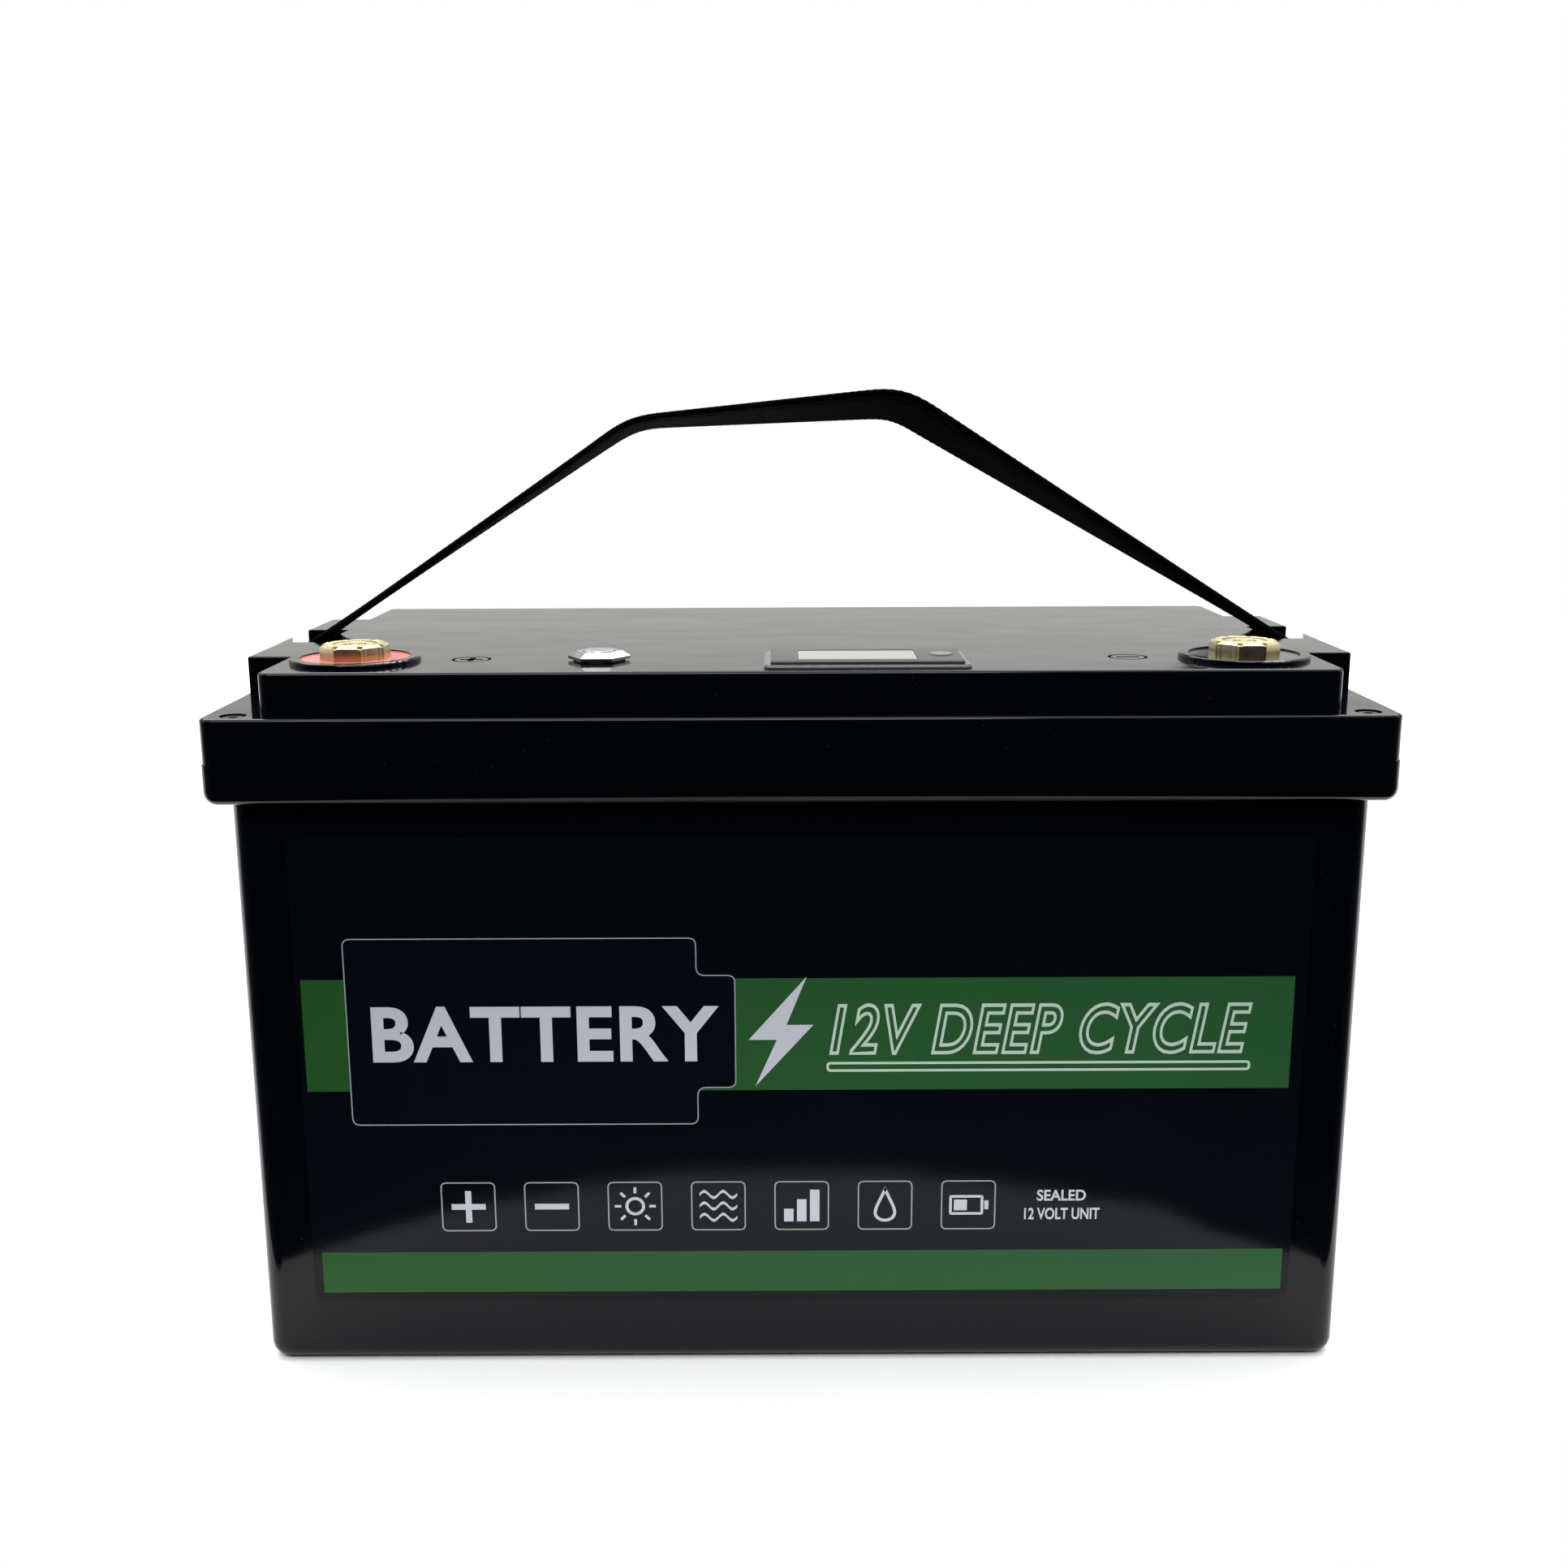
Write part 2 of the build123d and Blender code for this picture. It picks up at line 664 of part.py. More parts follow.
def make_strap_loop(side, angle):
    """Webbing wrapped round the bar, with a stub along the leg that ends level, under the swing's axis."""
    ring = Cylinder(bar_radius + wrap_clearance + strap_thickness, strap_width)
    ring = ring - Cylinder(bar_radius + wrap_clearance, strap_width)
    loop = Pos(side * bar_x, 0, bar_z) * Rot(90, 0, 0) * ring
    (x0, z0), (dx, dz) = leg_start(side, angle)
    x1, z1 = leg_point(side, angle, hinge_z + strap_thickness)
    stub = Box(math.hypot(x1 - x0, z1 - z0), strap_width, strap_thickness)
    tilt = -math.degrees(math.atan2(dz, dx))
    stub = Pos((x0 + x1) / 2, 0, (z0 + z1) / 2) * Rot(0, tilt, 0) * stub
    end_z = hinge_z - stub_drop
    above = block(-case_length, case_length, -strap_width, strap_width, end_z, end_z + case_length)
    return loop + (stub - above)


def strap_corners():
    """The strap's middle line in the upright plane: leg, grip, leg, with its ends under the swing's axis."""
    corners = []
    for side, angle, grip_x in ((-1, left_leg_angle, grip_left), (1, right_leg_angle, grip_right)):
        corners.append(leg_point(side, angle, hinge_z - strap_thickness))
        (x, z), (dx, dz) = leg_start(side, angle)
        corners.append((grip_x, z + dz * (grip_x - x) / dx))
    return [corners[0], corners[1], corners[3], corners[2]]


def make_carry_strap():
    """The webbing that swings: a band along its middle line, narrowed near the lid so that it clears it."""
    points = [(x, 0, z) for x, z in strap_corners()]
    line = FilletPolyline(*points, radius=grip_bend)
    across = Plane(origin=line @ 0, x_dir=(0, 1, 0), z_dir=line % 0)
    band = sweep(across * Rectangle(strap_width, strap_thickness), path=line)
    swing = math.radians(swing_limit)
    half = strap_width / 2
    tip = tip_width / 2
    full_z = hinge_z + (half * math.sin(swing) - stub_drop + swing_clearance) / math.cos(swing)
    top_z = lid_top_z + case_length
    outline = Polyline((-tip, hinge_z), (-half, full_z), (-half, top_z), (half, top_z), (half, full_z),
                       (tip, hinge_z), close=True)
    face = Plane(origin=(-case_length, 0, 0), x_dir=(0, 1, 0), z_dir=(1, 0, 0)) * make_face(outline)
    return band & extrude(face, 2 * case_length)


# ---------------------------------------------------------------- cell pack
def cell_x(index):
    """Middle of one cell, counted from the left."""
    return cells_start_x + index * (cell_thickness + spacer_thickness) + cell_thickness / 2


def make_cell(index):
    x = cell_x(index)
    half = cell_thickness / 2
    cell = block(x - half, x + half, -cell_width / 2, cell_width / 2, pack_base_z, cell_top_z)
    cell = fillet(cell.edges().filter_by(Axis.Z), cell_corner)
    vent_z = cell_top_z - vent_depth
    vent = disc(x, 0, vent_z, cell_top_z, vent_radius)
    return cell - (vent - disc(x, 0, vent_z, cell_top_z, vent_radius - vent_line))


def post_places():
    """The posts' places: both ends of every cell."""
    return [(cell_x(index), side * post_y) for index in range(cell_count) for side in (-1, 1)]


def make_cell_posts():
    return joined(disc(x, y, cell_top_z, link_z, post_radius)
                  + disc(x, y, link_z, link_z + stud_height, stud_radius) for x, y in post_places())


def make_link_nuts():
    return joined(hexagon(x, y, link_top_z, link_top_z + nut_height, nut_flats)
                  - disc(x, y, link_top_z, link_top_z + nut_height, stud_radius + small_clearance)
                  for x, y in post_places())


def link_plate(first, last, side):
    """A plate over the posts of some neighbouring cells, on one side of the pack."""
    y = side * post_y
    plate = block(cell_x(first) - link_overhang, cell_x(last) + link_overhang,
                  y - link_width / 2, y + link_width / 2, link_z, link_top_z)
    for index in range(first, last + 1):
        plate = plate - disc(cell_x(index), y, link_z, link_top_z, stud_radius + stud_clearance)
    return plate


def make_bus_positive():
    """Joins the first group to the left terminal: plate, riser and a tab under the terminal."""
    plate = link_plate(0, 1, -1)
    riser_x = -terminal_x + lug_bolt_flats
    front = terminal_y - link_width / 2
    tab_z = terminal_foot_z - tab_thickness
    foot = block(riser_x, riser_x + bus_foot, front, -post_y, link_z, link_top_z)
    for index in (0, 1):
        foot = foot - disc(cell_x(index), -post_y, link_z, link_top_z, stud_radius + stud_clearance)
    back = terminal_y + link_width / 2
    riser = block(riser_x, riser_x + tab_thickness, front, back, link_z, terminal_foot_z)
    tab = block(-terminal_x - link_width / 2, riser_x + tab_thickness, front, back, tab_z, terminal_foot_z)
    hole = disc(-terminal_x, terminal_y, tab_z, terminal_foot_z, terminal_thread_radius + lug_bolt_clearance)
    return plate + foot + riser + (tab - hole)


def make_cell_spacers():
    sheets = []
    for index in range(cell_count - 1):
        x0 = cell_x(index) + cell_thickness / 2
        sheets.append(block(x0, x0 + spacer_thickness, -cell_width / 2 + spacer_inset,
                            cell_width / 2 - spacer_inset, pack_base_z, cell_top_z - spacer_inset))
    return joined(sheets)


def make_end_plate(x0):
    return block(x0, x0 + end_plate_thickness, -cell_width / 2, cell_width / 2, pack_base_z,
                 cell_top_z - end_plate_drop)


def make_band(level):
    """A steel band round the end plates and the cells."""
    z0, z1 = pack_base_z + level, pack_base_z + level + band_width
    t = band_thickness
    half = cell_width / 2
    outer = block(pack_start_x - t, pack_end_x + t, -half - t, half + t, z0, z1)
    return outer - block(pack_start_x, pack_end_x, -half, half, z0, z1)


def make_base_pad():
    return block(pack_start_x, pack_end_x, -cell_width / 2, cell_width / 2, base_thickness, pack_base_z)


def make_side_pads():
    y1 = inner_width / 2
    y0 = y1 - side_pad
    pads = []
    for side in (-1, 1):
        low, high = sorted((side * y0, side * y1))
        pads.append(block(cells_start_x + side_pad_end, cells_end_x, low, high, pack_base_z, pad_top_z))
    return joined(pads)


# ---------------------------------------------------------------- management board and leads
def make_bms_plate():
    half = bms_width / 2
    plate = block(bms_x, bms_x + bms_plate_thickness, -half, half, base_thickness, bms_top_z)
    foot = block(bms_x, bms_x + bms_foot, -half, half, base_thickness, base_thickness + bms_plate_thickness)
    for side in (-1, 1):
        y = side * (half - standoff_inset)
        for z in (bms_bottom_z + standoff_side, bms_top_z - 2 * standoff_side):
            plate = plate + block(bms_x + bms_plate_thickness, board_x, y - standoff_side / 2,
                                  y + standoff_side / 2, z - standoff_side / 2, z + standoff_side / 2)
    return plate + foot


def make_bms_board():
    half = bms_width / 2 - board_margin / 2
    return block(board_x, board_x + board_thickness, -half, half, bms_bottom_z, bms_top_z - board_margin)


def make_bms_transistors():
    """Two rows of power transistors, as square packages on the board."""
    face = board_x + board_thickness
    packages = []
    for row in range(transistor_rows):
        for column in range(transistors_per_row):
            y = (column - (transistors_per_row - 1) / 2) * transistor_pitch
            z = bms_bottom_z + transistor_start + row * transistor_row_pitch
            packages.append(block(face, face + transistor_thickness, y - transistor_width / 2,
                                  y + transistor_width / 2, z, z + transistor_height))
    return joined(packages)


def lead_route(points, diameter):
    """A lead's solid: straight runs joined by arcs as large as the runs allow."""
    vectors = [Vector(*p) for p in points]
    radii = []
    for before, here, after in zip(vectors, vectors[1:], vectors[2:]):
        turn = math.radians((here - before).get_angle(after - here))
        shorter = min((here - before).length, (after - here).length)
        radii.append(0.45 * shorter / math.tan(turn / 2))
    line = FilletPolyline(*points, radius=radii)
    section = Plane(origin=line @ 0, z_dir=line % 0) * Circle(diameter / 2)
    return sweep(section, path=line)


def lead_lug(x, y, palm_z, barrel_z, hole_radius):
    """A crimped lug: a flat palm with a hole, and a barrel that points to the back."""
    half = lug_palm / 2
    y0 = y + half + lug_neck
    y1 = y0 + lug_barrel_length
    palm = block(x - half, x + half, y - half, y0, palm_z, palm_z + tab_thickness)
    barrel = Pos(x, (y0 + y1) / 2, barrel_z) * Rot(90, 0, 0) * Cylinder(lug_barrel_radius, lug_barrel_length)
    bore_length = lug_barrel_length - lug_bore_floor
    bore = Cylinder(lead_diameter / 2 + lead_bore_clearance, bore_length)
    bore = Pos(x, y1 - bore_length / 2, barrel_z) * Rot(90, 0, 0) * bore
    return palm + barrel - bore - disc(x, y, palm_z, palm_z + tab_thickness, hole_radius)


def lead_entry_y(lug_y):
    """Where a lead's end lies in its lug's barrel."""
    return lug_y + lug_palm / 2 + lug_neck + lug_bore_floor + lead_end_gap


pack_lug_x = pack_end_x + nut_flats / 2 + 1
terminal_lug_z = terminal_foot_z - tab_thickness
terminal_barrel_z = terminal_foot_z - lug_barrel_radius
pack_barrel_z = link_top_z + lug_barrel_radius
pad_x = board_x + board_thickness + lead_diameter / 2 + board_gap
pad_z = bms_top_z - pad_drop


def make_bus_negative():
    """Joins the last group and carries the lead to the management board on a tab."""
    plate = link_plate(cell_count - 2, cell_count - 1, -1)
    tab = block(cell_x(cell_count - 1) + link_overhang, pack_lug_x + lug_palm / 2,
                -post_y - link_width / 2, -post_y + link_width / 2, link_z, link_top_z)
    hole = disc(pack_lug_x, -post_y, link_z, link_top_z, stud_radius + stud_clearance)
    return plate + (tab - hole)


def make_lead_lugs():
    terminal_lug = lead_lug(terminal_x, terminal_y, terminal_lug_z, terminal_barrel_z,
                            terminal_thread_radius + lug_bolt_clearance)
    pack_lug = lead_lug(pack_lug_x, -post_y, link_top_z, pack_barrel_z, stud_radius + stud_clearance)
    return joined([terminal_lug, pack_lug])


def make_pack_bolt():
    """The screw and nut that hold the lead's lug to the negative plate."""
    z0 = link_top_z + tab_thickness
    screw = hexagon(pack_lug_x, -post_y, z0, z0 + 4, nut_flats)
    screw = screw + disc(pack_lug_x, -post_y, link_z - 1, z0, stud_radius)
    nut = hexagon(pack_lug_x, -post_y, link_z - nut_height, link_z, nut_flats)
    return screw + nut


def make_lead_negative():
    """From the negative terminal down to the management board."""
    y = lead_entry_y(terminal_y)
    z = terminal_barrel_z
    turn_y = y + lead_level + lead_turn
    return lead_route([(terminal_x, y, z), (terminal_x, y + lead_level, z),
                       (terminal_x - lead_aside, turn_y, z - lead_fall),
                       (pad_x, turn_y + board_gap, bms_top_z), (pad_x, turn_y, pad_z)], lead_diameter)


def make_lead_pack_negative():
    """From the last group's plate down to the management board."""
    y = lead_entry_y(-post_y)
    z = pack_barrel_z
    turn_y = y + pack_lead_level + pack_lead_turn
    return lead_route([(pack_lug_x, y, z), (pack_lug_x, y + pack_lead_level, z),
                       (pad_x - lead_aside, turn_y, z - pack_lead_fall),
                       (pad_x, turn_y - lead_aside, pad_z)], lead_diameter)


def make_balance_leads():
    """Five thin wires from the groups' plates to the management board."""
    wires = []
    group_places = [(0, -1), (1, 1), (3, -1), (5, 1), (7, -1)]
    lane_z = link_top_z + 4
    end_x = board_x + board_thickness / 2
    for number, (index, side) in enumerate(group_places):
        x = cell_x(index) + (cell_thickness / 2 if side > 0 else 0)
        y = side * (post_y - link_width / 2 - 2)
        lane_y = balance_lane_y + (number - len(group_places) // 2) * balance_lane
        turn_x = min(x + 22, pack_end_x - 12)
        wires.append(lead_route([(x, y, link_z + 1), (x + 6, y * 0.62, lane_z), (turn_x, lane_y, lane_z + 1),
                                 (pack_end_x + 2, lane_y + 0.6, lane_z), (end_x, lane_y, bms_top_z + 14),
                                 (end_x, lane_y + 0.5, bms_top_z - board_margin + 1)], balance_wire))
    return joined(wires)


# ---------------------------------------------------------------- write every piece
write("container", make_container())
write("lid", make_lid())
write("lid_seal", seal_ring(0, 0))
write("lid_screws", make_lid_screws())
write("front_label", make_label())
for side, name in ((-1, "positive"), (1, "negative")):
    write(f"terminal_{name}", make_terminal(side))
    write(f"potting_{name}", make_potting(side))
write("lug_bolts", make_lug_bolts())
write("button_bezel", make_button_bezel())
write("button_cap", make_button_cap())
write("button_spring", make_button_spring())
write("button_nut", make_button_nut())
write("button_seal", make_button_seal())
write("button_switch", make_button_switch())
write("display_frame", make_display_frame())
write("display_panel", make_display_panel())
write("display_window", make_display_window())
write("display_module", make_display_module())
write("display_key", make_display_key())
write("display_board", make_display_board())
write("display_switch", make_display_switch())
for side, name, angle in ((-1, "left", left_leg_angle), (1, "right", right_leg_angle)):
    write(f"strap_bar_{name}", strap_bar(side))
    write(f"strap_loop_{name}", make_strap_loop(side, angle))
write("carry_strap", make_carry_strap())
for index in range(cell_count):
    write(f"cell_{index + 1}", make_cell(index))
write("cell_posts", make_cell_posts())
write("cell_spacers", make_cell_spacers())
write("end_plate_left", make_end_plate(pack_start_x))
write("end_plate_right", make_end_plate(cells_end_x))
for name, level in zip(("lower", "upper"), band_heights):
    write(f"pack_band_{name}", make_band(level))
write("base_pad", make_base_pad())
write("side_pads", make_side_pads())
write("link_1", link_plate(0, 3, 1))
write("link_2", link_plate(2, 5, -1))
write("link_3", link_plate(4, 7, 1))
write("bus_positive", make_bus_positive())
write("bus_negative", make_bus_negative())
write("link_nuts", make_link_nuts())
write("bms_plate", make_bms_plate())
write("bms_board", make_bms_board())
write("bms_transistors", make_bms_transistors())
write("lead_lugs", make_lead_lugs())
write("pack_lug_bolt", make_pack_bolt())
write("lead_negative", make_lead_negative())
write("lead_pack_negative", make_lead_pack_negative())
write("balance_leads", make_balance_leads())
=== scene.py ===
# %% [markdown]
# # Deep cycle battery
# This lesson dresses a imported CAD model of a 12 volt deep cycle battery: a glossy black case with a
# stepped lid, brass terminals, a test button, a small display and a carry strap held up by its middle.
# The CAD model gives every hard piece and its place. Blender adds what CAD can't: finishes, the printed
# label, woven webbing, screw threads and light. Everything is in metres, in the CAD model's own frame.

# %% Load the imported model
import json
import math
import bpy
import numpy as np
from mathutils import Matrix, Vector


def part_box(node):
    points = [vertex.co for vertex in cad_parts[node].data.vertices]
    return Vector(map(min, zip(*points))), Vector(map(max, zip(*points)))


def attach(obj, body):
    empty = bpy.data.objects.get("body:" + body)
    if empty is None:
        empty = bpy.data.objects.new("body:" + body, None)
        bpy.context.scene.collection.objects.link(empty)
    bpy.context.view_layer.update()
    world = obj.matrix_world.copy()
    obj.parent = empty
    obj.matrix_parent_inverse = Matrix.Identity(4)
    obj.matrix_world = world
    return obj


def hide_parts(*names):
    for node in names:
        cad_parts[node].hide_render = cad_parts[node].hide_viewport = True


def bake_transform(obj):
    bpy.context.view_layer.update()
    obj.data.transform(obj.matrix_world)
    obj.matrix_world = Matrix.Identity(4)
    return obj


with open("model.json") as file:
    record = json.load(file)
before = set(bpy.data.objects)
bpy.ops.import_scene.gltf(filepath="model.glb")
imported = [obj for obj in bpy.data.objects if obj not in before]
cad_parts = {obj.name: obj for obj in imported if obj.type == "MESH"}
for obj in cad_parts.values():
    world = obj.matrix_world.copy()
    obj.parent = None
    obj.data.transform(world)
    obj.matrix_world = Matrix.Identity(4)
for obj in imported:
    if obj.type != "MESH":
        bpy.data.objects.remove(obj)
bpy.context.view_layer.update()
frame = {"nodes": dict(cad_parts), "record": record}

# %% [markdown]
# ## Measures
# Places are read from the CAD nodes' boxes, so a label or a strap stays on its case when a size changes.
# Millimetres are easier to think in, so MM turns them into metres.

# %% Measures from the nodes
MM = 0.001


def corners(node):
    """A node's lowest and highest corner, as two arrays."""
    low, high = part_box(node)
    return np.array(low, float), np.array(high, float)


film_low, film_high = corners("front_label")
film_face_y = film_low[1]
terminal_low, terminal_high = corners("terminal_negative")
terminal_centre = (terminal_low + terminal_high) / 2

# %% [markdown]
# ## Camera
# The camera stands nearly in the middle, about 0.45 m in front of the case and just above its lid, and
# looks down by about an eighth of a right angle. It leans by a fifth of a degree, as a hand-held camera does.
# A 38 mm lens on a 36 mm sensor gives the strong perspective of a picture taken from near.

# %% Camera
camera_data = bpy.data.cameras.new("camera")
camera_data.lens = 38.30
camera_data.sensor_width = 36.0
camera_data.clip_start = 0.01
camera = bpy.data.objects.new("camera", camera_data)
camera.location = (-4.9 * MM, -532.4 * MM, 274.2 * MM)
look_down, turn, lean = math.radians(12.21), math.radians(-0.03), math.radians(-0.22)
upright = Matrix.Rotation(turn, 4, "Z") @ Matrix.Rotation(math.pi / 2 - look_down, 4, "X")
camera.rotation_euler = (upright @ Matrix.Rotation(lean, 4, "Z")).to_euler()
bpy.context.scene.collection.objects.link(camera)
bpy.context.scene.camera = camera
print("camera at", tuple(round(v, 4) for v in camera.location))

# %% [markdown]
# ## Floor, sky and lamps
# Gloss black shows what stands round it more than it shows its own colour. So the light is built like a
# studio for glassware: a bright surround behind, which the lid mirrors at a low angle, and a dark room
# in front, which keeps the label side black. The floor is a pale table with a round front edge near the
# case, so the foot of the case mirrors the table and the rest mirrors the dark. What the camera sees
# directly behind the table stays plain white.

# %% Mesh helper


def new_mesh(name, points, faces, smooth=True):
    """A mesh object from an array of points and a list or array of faces, at the origin."""
    mesh = bpy.data.meshes.new(name)
    mesh.from_pydata(np.asarray(points, float).tolist(), [], [list(map(int, f)) for f in faces])
    mesh.update()
    mesh.polygons.foreach_set("use_smooth", np.full(len(mesh.polygons), smooth))
    obj = bpy.data.objects.new(name, mesh)
    bpy.context.scene.collection.objects.link(obj)
    return obj


def grid_faces(rows, columns, wrap_rows=False, wrap_columns=False):
    """Four-sided faces over a grid of points, joined to their neighbours one row and one column on."""
    i = np.arange(rows if wrap_rows else rows - 1)[:, None]
    j = np.arange(columns if wrap_columns else columns - 1)[None, :]
    i2, j2 = (i + 1) % rows, (j + 1) % columns
    quads = np.stack([i * columns + j, i * columns + j2, i2 * columns + j2, i2 * columns + j], axis=-1)
    return quads.reshape(-1, 4)


# %% Table
table_nose = 0.240           # radius of the table's rounded front
nose_front = 0.131           # its foremost point, in front of the label
table_back = 1.6
nose_y = film_face_y - nose_front + table_nose
angle = np.linspace(-math.pi / 2, math.pi / 2, 120)
flare = 1.0 + 4.0 * (angle / (math.pi / 2)) ** 8
nose = np.stack([table_nose * flare * np.sin(angle), nose_y - table_nose * np.cos(angle), 0 * angle], axis=-1)
back = np.array([(nose[-1, 0], table_back, 0.0), (nose[0, 0], table_back, 0.0)])
outline = np.concatenate([nose, back])
floor = new_mesh("floor", outline, [np.arange(len(outline))], smooth=False)
print("table's edge", round(nose_front * 1000), "mm in front of the label")

# %% [markdown]
# ## Numbers that change over a surface
# A finish is a small program: it takes a place on the surface and gives a colour, a roughness and a
# height. Value wraps one output of a node, so that such a program reads as plain sums. Finish holds one
# material and makes every other node through one method.

# %% Value and Finish


def plug(tree, value, socket):
    """Link a Value to a socket, or set the socket to a plain number or colour."""
    if isinstance(value, Value):
        tree.links.new(value.socket, socket)
    else:
        socket.default_value = value


class Value:
    """One node output. Its sums and products are Math nodes."""

    def __init__(self, tree, socket):
        self.tree, self.socket = tree, socket

    def math(self, operation, first, second=0.0):
        node = self.tree.nodes.new("ShaderNodeMath")
        node.operation = operation
        plug(self.tree, first, node.inputs[0])
        plug(self.tree, second, node.inputs[1])
        return Value(self.tree, node.outputs[0])

    def __add__(self, other):
        return self.math("ADD", self, other)

    def __radd__(self, other):
        return self.math("ADD", other, self)

    def __sub__(self, other):
        return self.math("SUBTRACT", self, other)

    def __rsub__(self, other):
        return self.math("SUBTRACT", other, self)

    def __mul__(self, other):
        return self.math("MULTIPLY", self, other)

    def __rmul__(self, other):
        return self.math("MULTIPLY", other, self)

    def __pow__(self, other):
        return self.math("POWER", self, other)


class Tree:
    """A node tree, with one method that makes any node."""

    def __init__(self, tree):
        self.tree = tree

    def node(self, kind, settings=None, sockets=None, output=0):
        """A node of a kind, its settings, then its sockets' values or links. Gives one of its outputs."""
        node = self.tree.nodes.new("ShaderNode" + kind)
        for name, value in (settings or {}).items():
            setattr(node, name, value)
        for name, value in (sockets or {}).items():
            plug(self.tree, value, node.inputs[name])
        return Value(self.tree, node.outputs[output])

    def split(self, vector):
        """The three parts of a vector."""
        node = self.tree.nodes.new("ShaderNodeSeparateXYZ")
        plug(self.tree, vector, node.inputs[0])
        return [Value(self.tree, out) for out in node.outputs]

    def mix(self, factor, first, second):
        """A colour between two colours."""
        return self.node("Mix", {"data_type": "RGBA"}, {0: factor, 6: first, 7: second}, output=2)

    def clamp(self, value, low, high):
        """A number's place between low and high, from 0 to 1, held at both ends."""
        return self.node("MapRange", {"clamp": True}, {0: value, 1: low, 2: high, 3: 0.0, 4: 1.0})


class Finish(Tree):
    """One material. Constants are set on the shader's own sockets."""

    def __init__(self, name, **constants):
        self.material = bpy.data.materials.new(name)
        self.material.use_nodes = True
        super().__init__(self.material.node_tree)
        self.shader = self.tree.nodes["Principled BSDF"]
        for socket, value in constants.items():
            self.shader.inputs[socket.replace("_", " ")].default_value = value
        self.place = self.node("TexCoord", output=3)

    def noise(self, scale, detail=2.0, roughness=0.5, stretch=None):
        """Cloudy noise from 0 to 1, with about scale patches to the metre, drawn out by stretch."""
        where = self.place
        if stretch:
            where = self.node("Mapping", {}, {"Vector": where, "Scale": stretch})
        return self.node("TexNoise", {}, {"Vector": where, "Scale": scale, "Detail": detail,
                                          "Roughness": roughness})

    def specks(self, scale, amount):
        """Small round specks: 1 at the middle of some cells and 0 elsewhere."""
        far = self.node("TexVoronoi", {}, {"Vector": self.place, "Scale": scale, "Randomness": 1.0})
        some = self.clamp(self.noise(scale * 0.35, 1.0), 0.62, 0.66)
        return (1.0 - self.clamp(far, amount, amount * 1.6)) * some

    def paint(self, colour=None, roughness=None, height=None, depth=0.0, metallic=None):
        """Feed the shader: colour, roughness, metallic and a height that is depth metres deep."""
        for socket, value in (("Base Color", colour), ("Roughness", roughness), ("Metallic", metallic)):
            if value is not None:
                plug(self.tree, value, self.shader.inputs[socket])
        if height is not None:
            bump = self.node("Bump", {}, {"Strength": 1.0, "Distance": depth, "Height": height})
            plug(self.tree, bump, self.shader.inputs["Normal"])
        return self.material


# %% [markdown]
# ## The surround and the lamps
# A world shader can answer one kind of ray with plain white, which the camera sees behind the table,
# and the rest with a room: dark in front, bright behind. Its colour depends only on the direction.

# %% Room
bpy.context.scene.view_settings.view_transform = "Standard"
world = bpy.data.worlds.new("room")
bpy.context.scene.world = world
world.use_nodes = True
room = Tree(world.node_tree)
world.node_tree.nodes.clear()
direction = room.node("TexCoord", output=0)
east, north, up = room.split(direction)
behind = room.clamp(north, -0.25, 0.35)
overhead = room.clamp(up, 0.25, 0.9)
sides = room.clamp(east * east, 0.3, 0.95)
brightness = 0.008 + behind * 0.76 + (1.0 - behind) * (overhead * 0.22 + sides * 0.10)
tint = room.mix(behind, (0.80, 0.90, 1.0, 1.0), (0.99, 1.0, 0.95, 1.0))
studio = room.node("Background", {}, {"Color": tint, "Strength": brightness})
plain = room.node("Background", {}, {"Color": (1.0, 1.0, 1.0, 1.0), "Strength": 1.0})
seen = room.node("LightPath", output=0)
either = room.node("MixShader", {}, {0: seen, 1: studio, 2: plain})
surface = world.node_tree.nodes.new("ShaderNodeOutputWorld")
plug(world.node_tree, either, surface.inputs["Surface"])
print("room: dark in front, bright behind")

# %% Lamps


def softbox(name, place, target, width, depth, watts):
    """A soft rectangular lamp at a place, turned towards a target."""
    data = bpy.data.lights.new(name, "AREA")
    data.shape = "RECTANGLE"
    data.size, data.size_y, data.energy = width, depth, watts
    lamp = bpy.data.objects.new(name, data)
    lamp.location = place
    aim = np.array(target, float) - np.array(place, float)
    aim /= np.linalg.norm(aim)
    lamp.rotation_euler = (math.acos(-aim[2]), 0.0, math.atan2(aim[0], -aim[1]) + math.pi)
    bpy.context.scene.collection.objects.link(lamp)


softbox("lamp_over", (0.0, 0.15, 1.9), (0.0, 0.0, 0.1), 1.8, 1.2, 12.0)
softbox("lamp_front", (-0.25, -1.7, 1.9), (0.0, 0.0, 0.1), 1.3, 0.9, 26.0)
softbox("lamp_left", (-1.9, -0.3, 1.2), (0.0, 0.0, 0.1), 0.9, 1.2, 7.0)
softbox("lamp_right", (1.9, -0.2, 1.2), (0.0, 0.0, 0.1), 0.9, 1.2, 7.0)
softbox("lamp_edges", (0.0, 1.5, 1.7), (0.0, 0.0, 0.1), 3.0, 0.5, 48.0)
sky_data = bpy.data.lights.new("lamp_sky", "SUN")
sky_data.energy, sky_data.angle = 2.2, math.radians(100.0)
sky = bpy.data.objects.new("lamp_sky", sky_data)
bpy.context.scene.collection.objects.link(sky)

# %% Table finish
table_top = Finish("table_paper", Roughness=0.9, Specular_IOR_Level=0.2)
grain = table_top.noise(900.0, 3.0)
cloud = table_top.noise(6.0, 2.0)
table_top.paint(table_top.mix(cloud, (0.90, 0.90, 0.90, 1.0), (0.94, 0.94, 0.93, 1.0)),
                0.85 + grain * 0.1, grain, 0.0001)
floor.data.materials.append(table_top.material)
print("table finish:", len(table_top.tree.nodes), "nodes")

